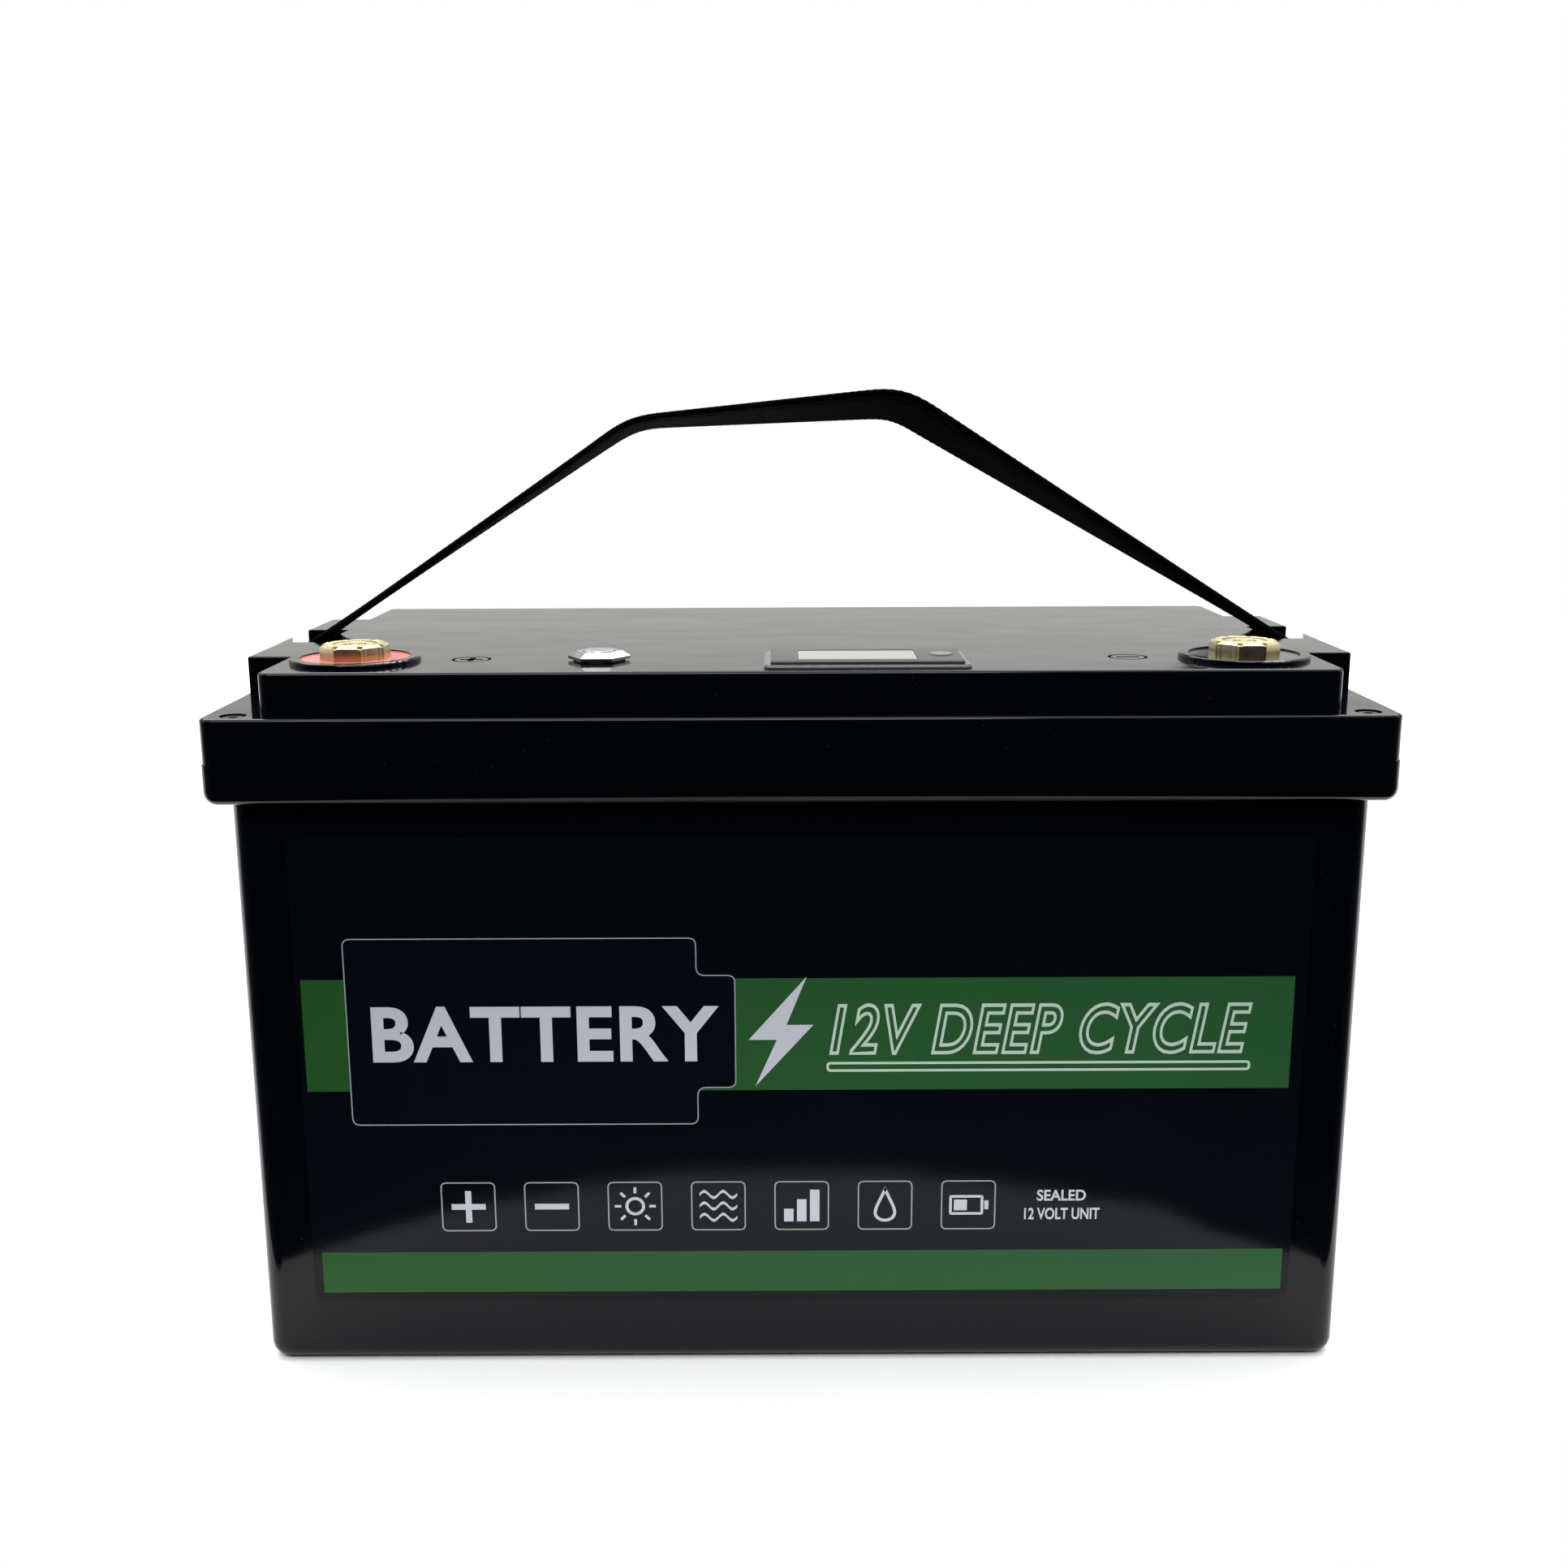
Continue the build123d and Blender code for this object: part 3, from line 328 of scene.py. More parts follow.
# %% [markdown]
# ## Case plastic
# Polished moulded plastic is nearly black and very smooth, yet never perfect: it has shallow waves from
# the mould, fine wiping marks that run along the lid, and a little dust. The waves are a height, the
# wiping marks only change roughness, and the dust lightens the colour a touch.

# %% Case finish
case = Finish("case_gloss", Specular_IOR_Level=0.26, IOR=1.46)
cloud = case.noise(14.0, 3.0)
wipes = case.noise(60.0, 4.0, 0.6, (0.35, 4.0, 4.0))
fine_wipes = case.noise(420.0, 2.0, 0.5, (0.12, 3.0, 3.0))
dust = case.specks(420.0, 0.09)
waves = case.noise(34.0, 1.0)
ripple = case.noise(700.0, 2.0)
case_colour = case.mix(cloud, (0.0008, 0.0013, 0.0026, 1.0), (0.0015, 0.0021, 0.0034, 1.0))
case.paint(case.mix(dust * 0.10, case_colour, (0.10, 0.10, 0.10, 1.0)),
           0.045 + case.clamp(wipes, 0.35, 0.8) * 0.07 + fine_wipes * 0.05 + dust * 0.12,
           waves * 0.9 + ripple * 0.012, 0.00035)
print("case finish:", len(case.tree.nodes), "nodes")

# %% [markdown]
# ## Label film and inks
# The label is a black film with printed bands. Film lies a little less flat than the case under it, so
# its waves are wider. Each ink has the fine grain of a screen print.

# %% Film and inks
film = Finish("label_film", Specular_IOR_Level=0.17)
waves = film.noise(16.0, 2.0)
film_grain = film.noise(1600.0, 2.0)
film.paint(film.mix(film.noise(9.0), (0.0016, 0.0026, 0.0044, 1.0), (0.0034, 0.0048, 0.0066, 1.0)),
           0.07 + film_grain * 0.06 + film.specks(500.0, 0.08) * 0.1, waves + film_grain * 0.01, 0.0006)


def ink(name, left, right, gloss=0.28):
    """A printed ink: its colour drifts from the label's left end to its right, with a fine grain."""
    paint = Finish(name, Specular_IOR_Level=0.17)
    across = paint.split(paint.place)[0]
    grain = paint.noise(2600.0, 2.0)
    patches = paint.noise(40.0, 2.0)
    drift = paint.clamp(across, float(film_low[0]), float(film_high[0])) * 0.8 + patches * 0.2
    colour = paint.mix(drift, (*left, 1.0), (*right, 1.0))
    grey = [0.85 * c for c in right]
    return paint.paint(paint.mix(grain * 0.35, colour, (*grey, 1.0)), gloss + grain * 0.12, grain, 0.00001)


ink_green = ink("ink_green", (0.020, 0.099, 0.015), (0.027, 0.116, 0.040))
ink_dark = ink("ink_dark", (0.0030, 0.0040, 0.0075), (0.0034, 0.0042, 0.0080), 0.10)
ink_word = ink("ink_word", (0.62, 0.63, 0.70), (0.72, 0.73, 0.80))
ink_pale = ink("ink_pale", (0.60, 0.72, 0.62), (0.62, 0.78, 0.66))
ink_line = ink("ink_line", (0.40, 0.42, 0.44), (0.42, 0.44, 0.46))
print("film and inks ready")

# %% [markdown]
# ## Metals
# Turned brass shows rings round its middle, and its colour is darker down its sides and lighter on its top.
# The rings are a wave in the distance from the terminal's axis; both terminals stand the same way from the
# middle, so the distance uses the size of x. Chrome is smooth with hair scratches, and zinc plate is dull and
# blotchy.

# %% Brass, chrome, zinc and the other metals
brass = Finish("brass_turned", Metallic=1.0)
x, y, z = brass.split(brass.place)
dx = brass.node("Math", {"operation": "ABSOLUTE"}, {0: x}) - float(abs(terminal_centre[0]))
dy = y - float(terminal_centre[1])
radius = (dx * dx + dy * dy) ** 0.5
rings = brass.node("Math", {"operation": "SINE"}, {0: radius * (2 * math.pi / (0.35 * MM))})
# the colour blends by height: darker lower down the sides, lighter over the top
side_to_top_blend = brass.clamp(z, float(terminal_high[2]) - 4.4 * MM, float(terminal_high[2]) - 0.7 * MM)
blotch = brass.noise(260.0, 3.0)
side = brass.mix(blotch, (0.52, 0.42, 0.17, 1.0), (0.66, 0.56, 0.27, 1.0))
top = brass.mix(blotch, (0.88, 0.80, 0.52, 1.0), (0.80, 0.70, 0.40, 1.0))
brass.paint(brass.mix(side_to_top_blend, side, top), 0.20 + blotch * 0.16, rings * 0.5 + blotch * 0.6, 0.00003)


def metal(name, dark, light, scale, rough, spread, depth, stretch=None):
    """A metal whose colour and roughness drift with a cloudy noise over a finer grain."""
    finish = Finish(name, Metallic=1.0)
    cloud = finish.noise(scale, 3.0, 0.55, stretch)
    grain = finish.noise(scale * 9.0, 2.0, 0.5, stretch)
    return finish.paint(finish.mix(cloud, (*dark, 1.0), (*light, 1.0)), rough + grain * spread,
                        cloud * 0.4 + grain * 0.6, depth)


chrome = metal("chrome", (0.50, 0.50, 0.51), (0.62, 0.62, 0.62), 90.0, 0.16, 0.10, 0.000006)
zinc = metal("zinc_plate", (0.46, 0.47, 0.48), (0.66, 0.66, 0.65), 160.0, 0.26, 0.20, 0.00002)
black_oxide = metal("black_oxide", (0.020, 0.020, 0.022), (0.045, 0.045, 0.048), 300.0, 0.32, 0.2, 0.00002)
milled = metal("milled_aluminium", (0.62, 0.63, 0.64), (0.78, 0.78, 0.78), 70.0, 0.28, 0.18, 0.00002,
               (1.0, 1.0, 12.0))
copper = metal("copper_plate", (0.62, 0.33, 0.20), (0.80, 0.50, 0.34), 120.0, 0.25, 0.2, 0.00002)
print("metals:", [m.name for m in (brass.material, chrome, zinc, black_oxide, milled, copper)])

# %% [markdown]
# ## Plastics, resin, rubber and the hidden pieces
# The same recipe serves many pieces: two near colours that drift in patches, a grain in the roughness
# and a shallow height. Only its numbers change. Resin gets soft waves from setting, foam deep pores.

# %% Moulded and cast finishes


def moulded(name, dark, light, scale, rough, spread, depth, **constants):
    """A plastic, resin, foam or rubber with patches, a fine grain and a shallow height."""
    finish = Finish(name, **constants)
    patches = finish.noise(scale, 3.0)
    grain = finish.noise(scale * 14.0, 2.0)
    return finish.paint(finish.mix(patches * 0.8 + grain * 0.2, (*dark, 1.0), (*light, 1.0)),
                        rough + grain * spread, patches * 0.7 + grain * 0.3, depth)


resin_red = moulded("resin_red", (0.50, 0.10, 0.085), (0.66, 0.17, 0.14), 90.0, 0.12, 0.15, 0.00012)
resin_black = moulded("resin_black", (0.006, 0.007, 0.010), (0.014, 0.015, 0.018), 90.0, 0.08, 0.12, 0.00012)
rubber = moulded("seal_rubber", (0.018, 0.018, 0.018), (0.030, 0.030, 0.030), 200.0, 0.55, 0.2, 0.00004)
black_plastic = moulded("switch_plastic", (0.020, 0.020, 0.021), (0.035, 0.035, 0.036), 220.0, 0.4, 0.2,
                        0.00002)
overlay = moulded("display_overlay", (0.022, 0.024, 0.022), (0.030, 0.032, 0.030), 120.0, 0.22, 0.16, 0.00001)
key_grey = moulded("key_grey", (0.150, 0.165, 0.155), (0.210, 0.225, 0.210), 260.0, 0.28, 0.2, 0.00002)
clear = moulded("clear_acrylic", (0.74, 0.88, 0.82), (0.82, 0.93, 0.88), 60.0, 0.03, 0.06, 0.00001,
                Transmission_Weight=0.92, IOR=1.49)
insulation = moulded("insulating_sheet", (0.62, 0.60, 0.50), (0.74, 0.72, 0.62), 150.0, 0.6, 0.2, 0.00003)
foam = moulded("foam", (0.035, 0.035, 0.036), (0.070, 0.070, 0.071), 420.0, 0.85, 0.1, 0.0004)
cell_wrap = moulded("cell_wrap", (0.015, 0.080, 0.300), (0.022, 0.110, 0.380), 40.0, 0.22, 0.15, 0.0001)
lead_black = moulded("lead_black", (0.014, 0.014, 0.014), (0.024, 0.024, 0.024), 300.0, 0.45, 0.2, 0.00003)
lead_red = moulded("lead_red", (0.38, 0.020, 0.018), (0.52, 0.032, 0.028), 300.0, 0.45, 0.2, 0.00003)

# %% Screen and circuit board
screen = Finish("display_screen", Specular_IOR_Level=0.5)
x, y, _ = screen.split(screen.place)
cells = [screen.node("Math", {"operation": "PINGPONG"}, {0: along, 1: 0.25 * MM}) * (4 / MM)
         for along in (x, y)]
grid = screen.clamp(cells[0], 0.0, 0.15) * screen.clamp(cells[1], 0.0, 0.15)
haze = screen.noise(50.0, 2.0)
pale = screen.mix(haze, (0.33, 0.35, 0.32, 1.0), (0.38, 0.40, 0.36, 1.0))
screen.paint(screen.mix(grid, (0.27, 0.29, 0.26, 1.0), pale), 0.12 + haze * 0.1, grid, 0.000004)
board = Finish("circuit_board")
tracks = board.node("TexWave", {"wave_type": "BANDS"}, {"Vector": board.place, "Scale": 120.0,
                                                         "Distortion": 9.0, "Detail": 1.0})
board.paint(board.mix(board.clamp(tracks, 0.4, 0.6), (0.006, 0.060, 0.024, 1.0), (0.015, 0.130, 0.050, 1.0)),
            0.35 + board.noise(900.0) * 0.15, tracks, 0.00003)
print("screen and board ready")

# %% [markdown]
# ## Dress the CAD nodes
# The record gives each node a material slot, so one table from slot to finish dresses all of them.

# %% Dress the nodes
finish_of_slot = {
    "case": case.material, "seal": rubber, "screws": black_oxide, "label": film.material,
    "brass": brass.material, "resin_red": resin_red, "resin_black": resin_black, "steel": zinc,
    "button_metal": chrome, "switch_plastic": black_plastic, "display_clear": clear,
    "display_panel": overlay, "display_screen": screen.material, "display_key": key_grey,
    "board": board.material, "aluminium": milled, "insulation": insulation, "foam": foam,
    "copper": copper, "cell_wrap": cell_wrap, "lead_black": lead_black, "lead_red": lead_red,
}
dressed = 0
for part in frame["record"]["subparts"]:
    finish = finish_of_slot.get(part["material_slot"])
    if finish:
        for material_slot in frame["nodes"][part["node"]].material_slots:
            material_slot.material = finish
        dressed += 1
print(dressed, "nodes dressed")

# %% [markdown]
# ## Printed label
# Prints are flat, so each is a thin plate standing a few hundredths of a millimetre off the film: thick
# enough to catch no flicker with the film below, too thin to see from the side. Outlines are worked out
# with numpy as arrays of (x, z) points on the film's face. Measures are from the middle of the case.

# %% Flat shapes


def rounded(points, radius, steps=6):
    """An outline whose corners are softened: each corner becomes a parabola that leaves it radius away."""
    here = np.asarray(points, float)
    back, ahead = np.roll(here, 1, axis=0) - here, np.roll(here, -1, axis=0) - here
    start = here + radius * back / np.linalg.norm(back, axis=1, keepdims=True)
    end = here + radius * ahead / np.linalg.norm(ahead, axis=1, keepdims=True)
    t = np.linspace(0, 1, steps)[None, :, None]
    curve = (1 - t) ** 2 * start[:, None] + 2 * t * (1 - t) * here[:, None] + t**2 * end[:, None]
    return curve.reshape(-1, 2)


def box_outline(x0, x1, z0, z1):
    """A rectangle's corners, anticlockwise as seen from in front."""
    return np.array([(x0, z0), (x1, z0), (x1, z1), (x0, z1)], float)


def circle(x, z, radius, count=32):
    """Points round a circle: centre plus radius times (cos, sin)."""
    a = np.linspace(0, 2 * math.pi, count, endpoint=False)
    return np.stack([x + radius * np.cos(a), z + radius * np.sin(a)], axis=-1)


def inset(outline, width):
    """An outline moved inwards by width, along the mean of its two neighbouring sides' normals."""
    side = np.roll(outline, -1, axis=0) - outline
    keep = np.linalg.norm(side, axis=1) > 1e-9
    outline, side = outline[keep], side[keep]
    normal = np.stack([-side[:, 1], side[:, 0]], axis=-1) / np.linalg.norm(side, axis=1, keepdims=True)
    mean = normal + np.roll(normal, 1, axis=0)
    mean /= np.maximum((mean**2).sum(axis=1, keepdims=True), 0.4) / 2
    return outline, outline + width * mean


PRINT_THICKNESS = 0.02


def plate(outline, lift):
    """A thin solid over an outline in mm, its back lift mm off the film: (points in metres, faces)."""
    n = len(outline)
    layers = [np.stack([outline[:, 0], np.full(n, -d), outline[:, 1]], axis=-1)
              for d in (lift + PRINT_THICKNESS, lift)]
    points = np.concatenate(layers) * MM + [0, film_face_y, 0]
    faces = [np.arange(n), np.arange(n)[::-1] + n, *grid_faces(2, n, wrap_columns=True)[:, ::-1]]
    return points, faces


def band(outline, width, lift):
    """A thin solid line of a width, just inside an outline in mm."""
    outer, inner = inset(outline, width)
    n = len(outer)
    rings = [(outer, lift + PRINT_THICKNESS), (inner, lift + PRINT_THICKNESS), (inner, lift), (outer, lift)]
    points = np.concatenate([np.stack([r[:, 0], np.full(n, -d), r[:, 1]], axis=-1) for r, d in rings])
    return points * MM + [0, film_face_y, 0], list(grid_faces(4, n, True, True)[:, ::-1])


def printed(name, shapes, finish):
    """One piece from several flat shapes, riding on the case and taking the given finish."""
    points, faces, first = [], [], 0
    for shape_points, shape_faces in shapes:
        points.append(shape_points)
        faces += [np.asarray(f) + first for f in shape_faces]
        first += len(shape_points)
    obj = new_mesh(name, np.concatenate(points), faces, smooth=False)
    obj.data.materials.append(finish)
    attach(obj, "root")


# %% Bands, battery panel and bolt
LIFT_BAND, LIFT_PANEL, LIFT_MARK = 0.02, 0.05, 0.08
printed("band_upper", [plate(box_outline(-142.4, 140.5, 86.2, 120.0), LIFT_BAND)], ink_green)
printed("band_lower", [plate(box_outline(-141.4, 141.8, 22.8, 35.7), LIFT_BAND)], ink_green)
panel_corners = [(-130.0, 75.7), (-29.7, 75.7), (-29.7, 86.9), (-18.7, 86.9), (-18.7, 121.1),
                 (-29.7, 121.1), (-29.7, 132.2), (-130.0, 132.2)]
panel_outline = rounded(panel_corners, 2.4)
printed("panel_fill", [plate(panel_outline, LIFT_PANEL)], ink_dark)
printed("panel_line", [band(panel_outline, 0.32, LIFT_MARK)], ink_line)
bolt = [(1.6, 120.5), (-15.1, 101.5), (-7.0, 101.5), (-13.2, 87.4), (3.5, 106.0), (-4.2, 106.0)]
printed("bolt", [plate(np.array(bolt), LIFT_PANEL)], ink_word)
bar = rounded(box_outline(7.2, 129.1, 91.7, 94.7), 1.3)
printed("rating_bar", [band(bar, 0.75, LIFT_PANEL)], ink_pale)
print("bands, panel and bolt printed")

# %% [markdown]
# ## Lettering
# Blender's text object is the easy way to letters: it holds a built-in typeface, can be made bolder by
# an offset and slanted by a shear. It is turned into a mesh first, and only then fitted to its box on
# the label, so that the piece itself stays at the origin. Outlined letters are two layers: bold pale
# letters with thinner green ones on top.

# %% Lettering


def lettering(name, text, box, finish, lift, weight=0.0, shear=0.0, spacing=1.0, fit=None):
    """Letters fitted to a box (x0, x1, z0, z1) in mm. fit takes the scale from other letters' bounds."""
    curve = bpy.data.curves.new(name + "_curve", "FONT")
    curve.body, curve.size, curve.offset, curve.shear = text, 1.0, weight, shear
    curve.space_character, curve.resolution_u = spacing, 6
    curve.extrude = 0.5
    holder = bpy.data.objects.new(name + "_holder", curve)
    bpy.context.scene.collection.objects.link(holder)
    mesh = bpy.data.meshes.new_from_object(holder.evaluated_get(bpy.context.evaluated_depsgraph_get()))
    bpy.data.objects.remove(holder)
    bpy.data.curves.remove(curve)
    points = np.empty(len(mesh.vertices) * 3)
    mesh.vertices.foreach_get("co", points)
    points = points.reshape(-1, 3)
    low, high = (points.min(axis=0), points.max(axis=0)) if fit is None else fit
    x0, x1, z0, z1 = box
    placed = np.empty_like(points)
    placed[:, 0] = x0 + (points[:, 0] - low[0]) / (high[0] - low[0]) * (x1 - x0)
    placed[:, 2] = z0 + (points[:, 1] - low[1]) / (high[1] - low[1]) * (z1 - z0)
    placed[:, 1] = -(lift + (points[:, 2] + 0.5) * PRINT_THICKNESS)
    placed = placed * MM + [0, film_face_y, 0]
    mesh.vertices.foreach_set("co", placed.ravel())
    mesh.update()
    mesh.materials.clear()
    mesh.materials.append(finish)
    obj = bpy.data.objects.new(name, mesh)
    bpy.context.scene.collection.objects.link(obj)
    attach(obj, "root")
    return obj, (low, high)


lettering("word", "BATTERY", (-122.9, -23.5, 95.1, 111.9), ink_word, LIFT_MARK, weight=0.028, spacing=1.08)
rating = "12V DEEP CYCLE"
rating_box = (8.0, 128.8, 96.7, 112.4)
_, rating_bounds = lettering("rating_edges", rating, rating_box, ink_pale, LIFT_PANEL, 0.040, 0.22, 1.1)
lettering("rating_fill", rating, rating_box, ink_green, LIFT_MARK, -0.012, 0.22, 1.1, rating_bounds)
lettering("small_line_upper", "SEALED", (68.9, 83.2, 51.3, 54.8), ink_word, LIFT_MARK, 0.022)
lettering("small_line_lower", "12 VOLT UNIT", (65.3, 87.4, 45.4, 49.1), ink_word, LIFT_MARK, 0.022)
print("lettering done")

# %% [markdown]
# ## Pictograms
# A row of seven rounded frames holds plain signs: plus, minus, sun, waves, level bars, drop and cell.
# They are this lesson's own drawings. Each is a few outlines, placed by its frame's middle.

# %% Pictograms
ICON_Z, ICON_WIDTH, ICON_HEIGHT = 50.1, 16.0, 15.5
icon_x = -97.5 + 24.39 * np.arange(7)
LINE = 0.38


def stroke(x0, z0, x1, z1, width=1.3):
    """A straight line of a width, as a rectangle's corners."""
    along = np.array([x1 - x0, z1 - z0], float)
    along /= np.linalg.norm(along)
    across = np.array([-along[1], along[0]]) * width / 2
    a, b = np.array([x0, z0]), np.array([x1, z1])
    return np.array([a - across, b - across, b + across, a + across])


def wave_line(x, z, length, height, width):
    """A sine wave drawn out as a line of a width: z plus height times the sine of two turns."""
    t = np.linspace(0, 1, 33)
    top = np.stack([x + length * (t - 0.5), z + height * np.sin(4 * math.pi * t) + width / 2], axis=-1)
    return np.concatenate([top - [0, width], top[::-1]])


def drop_outline(x, z, size):
    """A drop: a circle whose points are drawn up to a tip, by a power of how high they stand."""
    a = np.linspace(-math.pi / 2, 3 * math.pi / 2, 48, endpoint=False)
    rise = (1 + np.sin(a)) / 2
    across = x + size * np.cos(a) * (1 - rise**2 * 0.75)
    return np.stack([across, z + size * (np.sin(a) + rise**3 * 0.9)], axis=-1)


frames = [rounded(box_outline(x - ICON_WIDTH / 2, x + ICON_WIDTH / 2, ICON_Z - ICON_HEIGHT / 2,
                              ICON_Z + ICON_HEIGHT / 2), 1.8) for x in icon_x]
printed("icon_frames", [band(f, LINE, LIFT_MARK) for f in frames], ink_line)
x = icon_x
signs = [plate(stroke(x[0] - 5, ICON_Z, x[0] + 5, ICON_Z, 1.8), LIFT_MARK),
         plate(stroke(x[0], ICON_Z - 5, x[0], ICON_Z - 0.9, 1.8), LIFT_MARK),
         plate(stroke(x[0], ICON_Z + 0.9, x[0], ICON_Z + 5, 1.8), LIFT_MARK),
         plate(stroke(x[1] - 5, ICON_Z, x[1] + 5, ICON_Z, 1.8), LIFT_MARK),
         band(circle(x[2], ICON_Z, 2.9), 0.9, LIFT_MARK)]
for turn in np.arange(8) * math.pi / 4:
    ray = np.array([math.cos(turn), math.sin(turn)])
    signs.append(plate(stroke(*(ray * 4.1 + [x[2], ICON_Z]), *(ray * 6.0 + [x[2], ICON_Z]), 0.8), LIFT_MARK))
signs += [plate(wave_line(x[3], ICON_Z + dz, 11.0, 1.0, 0.9), LIFT_MARK) for dz in (-3.6, 0.0, 3.6)]
level_boxes = [box_outline(x[4] - 5.2 + 3.8 * i, x[4] - 2.4 + 3.8 * i, ICON_Z - 5, ICON_Z - 1 + 3 * i)
               for i in range(3)]
signs += [plate(box, LIFT_MARK) for box in level_boxes]
signs += [band(drop_outline(x[5], ICON_Z - 1.4, 3.8), 0.9, LIFT_MARK)]
cell = rounded(box_outline(x[6] - 5.6, x[6] + 4.4, ICON_Z - 3.1, ICON_Z + 3.1), 0.7)
signs += [band(cell, 0.8, LIFT_MARK),
          plate(box_outline(x[6] + 4.7, x[6] + 5.9, ICON_Z - 1.4, ICON_Z + 1.4), LIFT_MARK),
          plate(box_outline(x[6] - 4.2, x[6] - 0.4, ICON_Z - 1.7, ICON_Z + 1.7), LIFT_MARK)]
printed("icon_signs", signs, ink_word)
print(len(frames), "pictogram frames,", len(signs), "flat shapes in them")

# %% [markdown]
# ## Carry strap
# The strap is one length of nylon webbing, wrapped round a steel bar in each slot and pulled up by its
# middle. A taut strap is straight between the bars and the hand, so its middle line is: an arc round
# the left bar, a straight leg, the grip, a straight leg and an arc round the right bar. The band is a
# cross-section carried along that line. Cloth simulation would only sag it, so it is modelled directly.
# The right leg turns about its own length towards the grip, as webbing does in a hand.

# %% Strap's middle line
STRAP_WIDTH, STRAP_THICKNESS = 25.0, 2.2
PICK_OUT = 0.28              # how far the edge stands out at each pick
LEFT_SLOPE, RIGHT_SLOPE = math.radians(33.5), math.radians(31.0)
GRIP_LEFT, GRIP_RIGHT = -51.0, 31.0
WRAP_TURN = math.radians(282.0)
bar_low, bar_high = corners("strap_bar_right")
bar_x, bar_z = (bar_low + bar_high)[[0, 2]] / 2 / MM
bar_radius = (bar_high[2] - bar_low[2]) / 2 / MM
wrap_radius = bar_radius + 0.1 + STRAP_THICKNESS / 2
STEP = 0.55                  # between cross-sections, along the strap


def leave(side, slope):
    """Where a leg leaves its bar: the bar's middle plus the wrap's radius square to the leg."""
    return np.array([side * (bar_x + wrap_radius * math.sin(slope)), bar_z + wrap_radius * math.cos(slope)])


left_start, right_start = leave(-1, LEFT_SLOPE), leave(1, RIGHT_SLOPE)
left_top = left_start + (GRIP_LEFT - left_start[0]) * np.array([1.0, math.tan(LEFT_SLOPE)])
right_top = right_start + (right_start[0] - GRIP_RIGHT) * np.array([-1.0, math.tan(RIGHT_SLOPE)])
stops = np.array([left_start, left_top, right_top, right_start])
lengths = np.concatenate([[0], np.cumsum(np.linalg.norm(np.diff(stops, axis=0), axis=1))])
s = np.arange(0, lengths[-1], STEP)
span = np.stack([np.interp(s, lengths, stops[:, k]) for k in (0, 1)], axis=-1)
window = np.hanning(49)
window /= window.sum()
pad = len(window) // 2
before = span[0] - (span[1] - span[0]) * np.arange(pad, 0, -1)[:, None]
after = span[-1] + (span[-1] - span[-2]) * np.arange(1, pad + 1)[:, None]
padded_span = np.concatenate([before, span, after])
span = np.stack([np.convolve(padded_span[:, k], window, "valid") for k in (0, 1)], axis=-1)
turn = np.arange(STEP * 0.6, WRAP_TURN * wrap_radius, STEP * 0.6) / wrap_radius
left_angle = math.pi / 2 + LEFT_SLOPE + turn[::-1]
right_angle = math.pi / 2 - RIGHT_SLOPE - turn
left_wrap = [-bar_x, bar_z] + wrap_radius * np.stack([np.cos(left_angle), np.sin(left_angle)], -1)
right_wrap = [bar_x, bar_z] + wrap_radius * np.stack([np.cos(right_angle), np.sin(right_angle)], -1)
line = np.concatenate([left_wrap, span, right_wrap])
tangent = np.gradient(line, axis=0)
tangent /= np.linalg.norm(tangent, axis=1, keepdims=True)
run = np.concatenate([[0], np.cumsum(np.linalg.norm(np.diff(line, axis=0), axis=1))])
print("strap:", round(run[-1]), "mm long,", len(line), "cross-sections")

# %% Webbing band
GRIP_TWIST = math.radians(-21.0)
LEG_TWIST = math.radians(2.5)
ends = np.array([len(left_wrap), len(left_wrap) + len(span) - 1])
right_top_run = run[ends[0]] + lengths[2]
left_top_run = run[ends[0]] + lengths[1]
left_run, right_run = run[ends[0]], run[ends[1]]
twist_stops = [left_run, left_run + 20, left_top_run - 15, right_top_run + 4, right_run - 20, right_run]
twist = np.interp(run, twist_stops, [0.0, LEG_TWIST, -1.4 * LEG_TWIST, GRIP_TWIST, -LEG_TWIST, 0.0])
soft = np.hanning(61)
soft /= soft.sum()
twist = np.convolve(np.pad(twist, 30, mode="edge"), soft, "valid")


def webbing(line, tangent, run, twist, half_width, half_thickness):
    """The band's points, rows along it and columns round its section, and their (length, width) places.

    A section is a squared circle: width times sign(cos)|cos|^0.35, thickness times sign(sin)|sin|^0.45.
    Seven cords run along it, as a cosine across its thickness. Picks cross it every 2.3 mm, and the
    edge stands out a little at each, as a cosine along it.
    """
    along = np.stack([tangent[:, 0], 0 * run, tangent[:, 1]], axis=-1)
    up = np.stack([-tangent[:, 1], 0 * run, tangent[:, 0]], axis=-1)
    across = np.cos(twist)[:, None] * [0.0, 1.0, 0.0] + np.sin(twist)[:, None] * up
    normal = np.cross(along, across)
    a = np.linspace(0, 2 * math.pi, 56, endpoint=False)
    w = np.sign(np.cos(a)) * np.abs(np.cos(a)) ** 0.35
    t = np.sign(np.sin(a)) * np.abs(np.sin(a)) ** 0.45
    picks = np.cos(2 * math.pi * run / 2.3)[:, None]
    edge = np.abs(w) ** 12
    wide = half_width * w[None] + np.sign(w) * edge * picks * PICK_OUT
    cords = 0.93 + 0.07 * np.cos(7 * math.pi * w)[None] + 0.03 * picks * np.cos(14 * math.pi * w)[None]
    thick = half_thickness * t[None] * cords
    middle = np.stack([line[:, 0], 0 * run, line[:, 1]], axis=-1)
    points = middle[:, None] + wide[..., None] * across[:, None] + thick[..., None] * normal[:, None]
    return points * MM, np.broadcast_to(w[None] * half_width, wide.shape)


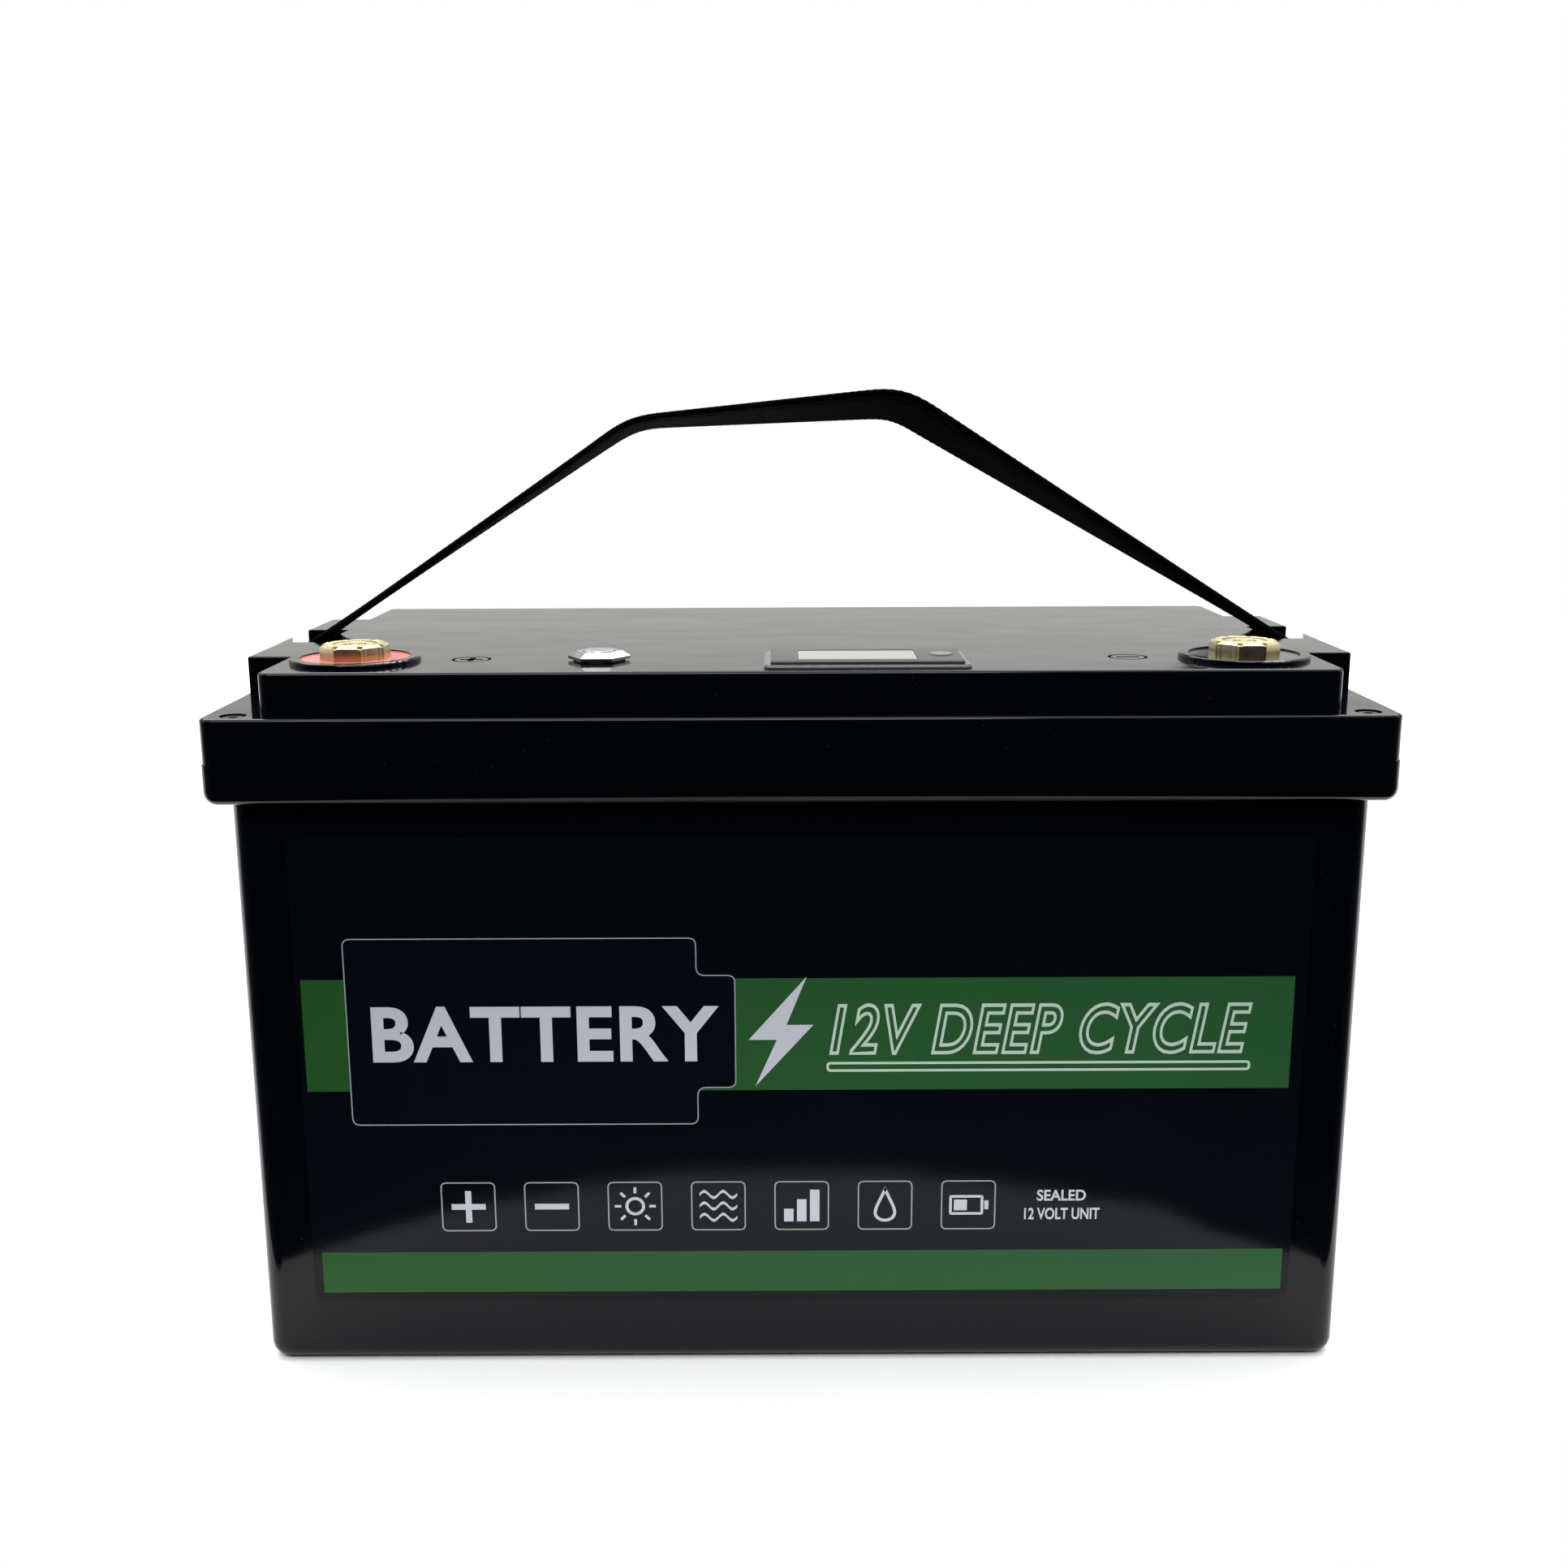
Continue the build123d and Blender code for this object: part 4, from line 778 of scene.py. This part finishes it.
points, widths = webbing(line, tangent, run, twist, STRAP_WIDTH / 2 - PICK_OUT, STRAP_THICKNESS / 2)
rows, columns = points.shape[:2]
strap_faces = [*grid_faces(rows, columns, wrap_columns=True),
               np.arange(columns)[::-1], np.arange(columns) + (rows - 1) * columns]
strap = new_mesh("webbing_strap", points.reshape(-1, 3), strap_faces)
corner_vertex = np.empty(len(strap.data.loops), int)
strap.data.loops.foreach_get("vertex_index", corner_vertex)
uv = np.stack([np.repeat(run, columns) * MM, widths.reshape(-1) * MM], axis=-1)[corner_vertex]
strap.data.uv_layers.new(name="weave").data.foreach_set("uv", uv.ravel())

# %% [markdown]
# Webbing is a twill: fine ribs that lean one way and then the other across the width. The pattern uses
# the band's own measured map, length and width in metres, so it follows the twist and the wraps.

# %% Webbing finish
RIB = 1.15 * MM
weave = Finish("webbing", Specular_IOR_Level=0.006)
place = weave.node("UVMap", {"uv_map": "weave"})
length, width, _ = weave.split(place)
lean = weave.node("Math", {"operation": "PINGPONG"}, {0: width + 0.02, 1: 3.1 * MM})
ribs = weave.node("Math", {"operation": "SINE"}, {0: (length + lean) * (2 * math.pi / RIB)})
threads = weave.node("Math", {"operation": "SINE"}, {0: width * (2 * math.pi / (0.62 * MM))})
fuzz = weave.noise(2400.0, 3.0)
height = ribs * 0.5 + threads * 0.25 + fuzz * 0.35
# the colour follows the weave's height: black yarn with painted shade in the grooves between the ribs
black = weave.mix(weave.clamp(height, -0.5, 0.9), (0.0008, 0.0008, 0.0010, 1.0), (0.0040, 0.0042, 0.0046, 1.0))
weave.paint(black, 0.72 + fuzz * 0.2, height, 0.00018)
strap.data.materials.append(weave.material)
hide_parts("carry_strap", "strap_loop_left", "strap_loop_right")
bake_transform(strap)
print("strap mesh:", rows, "by", columns, "points")

# %% [markdown]
# ## Threads in the terminals
# The CAD bores are plain. A bolt thread is a ridge that climbs its pitch in each turn: the radius is a
# zigzag of the height minus the climb. The sleeve below is such a surface, with rounded crests.

# %% Terminal threads
PITCH = 1.25
THREAD_DEPTH = 0.35
SLEEVE_WALL = 3.39           # radius of the sleeve's outside, just inside the bore
SLEEVE_LENGTH, SLEEVE_DROP = 11.0, 0.9


def thread(name, node):
    """A threaded sleeve inside a terminal's bore: radius = wall - depth * ridge(height - climb)."""
    low, high = corners(node)
    x, y = (low + high)[:2] / 2 / MM
    top, length, wall = high[2] / MM - SLEEVE_DROP, SLEEVE_LENGTH, SLEEVE_WALL
    a = np.linspace(0, 2 * math.pi, 64, endpoint=False)[None, :]
    h = np.linspace(0, length, 133)[:, None]
    phase = (h / PITCH - a / (2 * math.pi)) % 1.0
    ridge = 0.5 + 0.5 * np.cos(2 * math.pi * phase)
    fade = np.clip(np.minimum(h, length - h) / 0.6, 0, 1)
    radius = wall - THREAD_DEPTH * ridge * fade
    inner = np.stack([x + radius * np.cos(a), y + radius * np.sin(a), top - h + 0 * a], axis=-1)
    outer = np.stack([x + wall * np.cos(a) + 0 * h, y + wall * np.sin(a) + 0 * h, top - h + 0 * a], axis=-1)
    outer[..., :2] += 0.004 * np.stack([np.cos(a), np.sin(a)], axis=-1)
    grid = np.concatenate([inner, outer[::-1]]) * MM
    obj = new_mesh(name, grid.reshape(-1, 3), grid_faces(grid.shape[0], 64, True, True))
    obj.data.materials.append(brass.material)
    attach(obj, "root")


for side in ("positive", "negative"):
    thread("thread_" + side, "terminal_" + side)
print("threads cut")
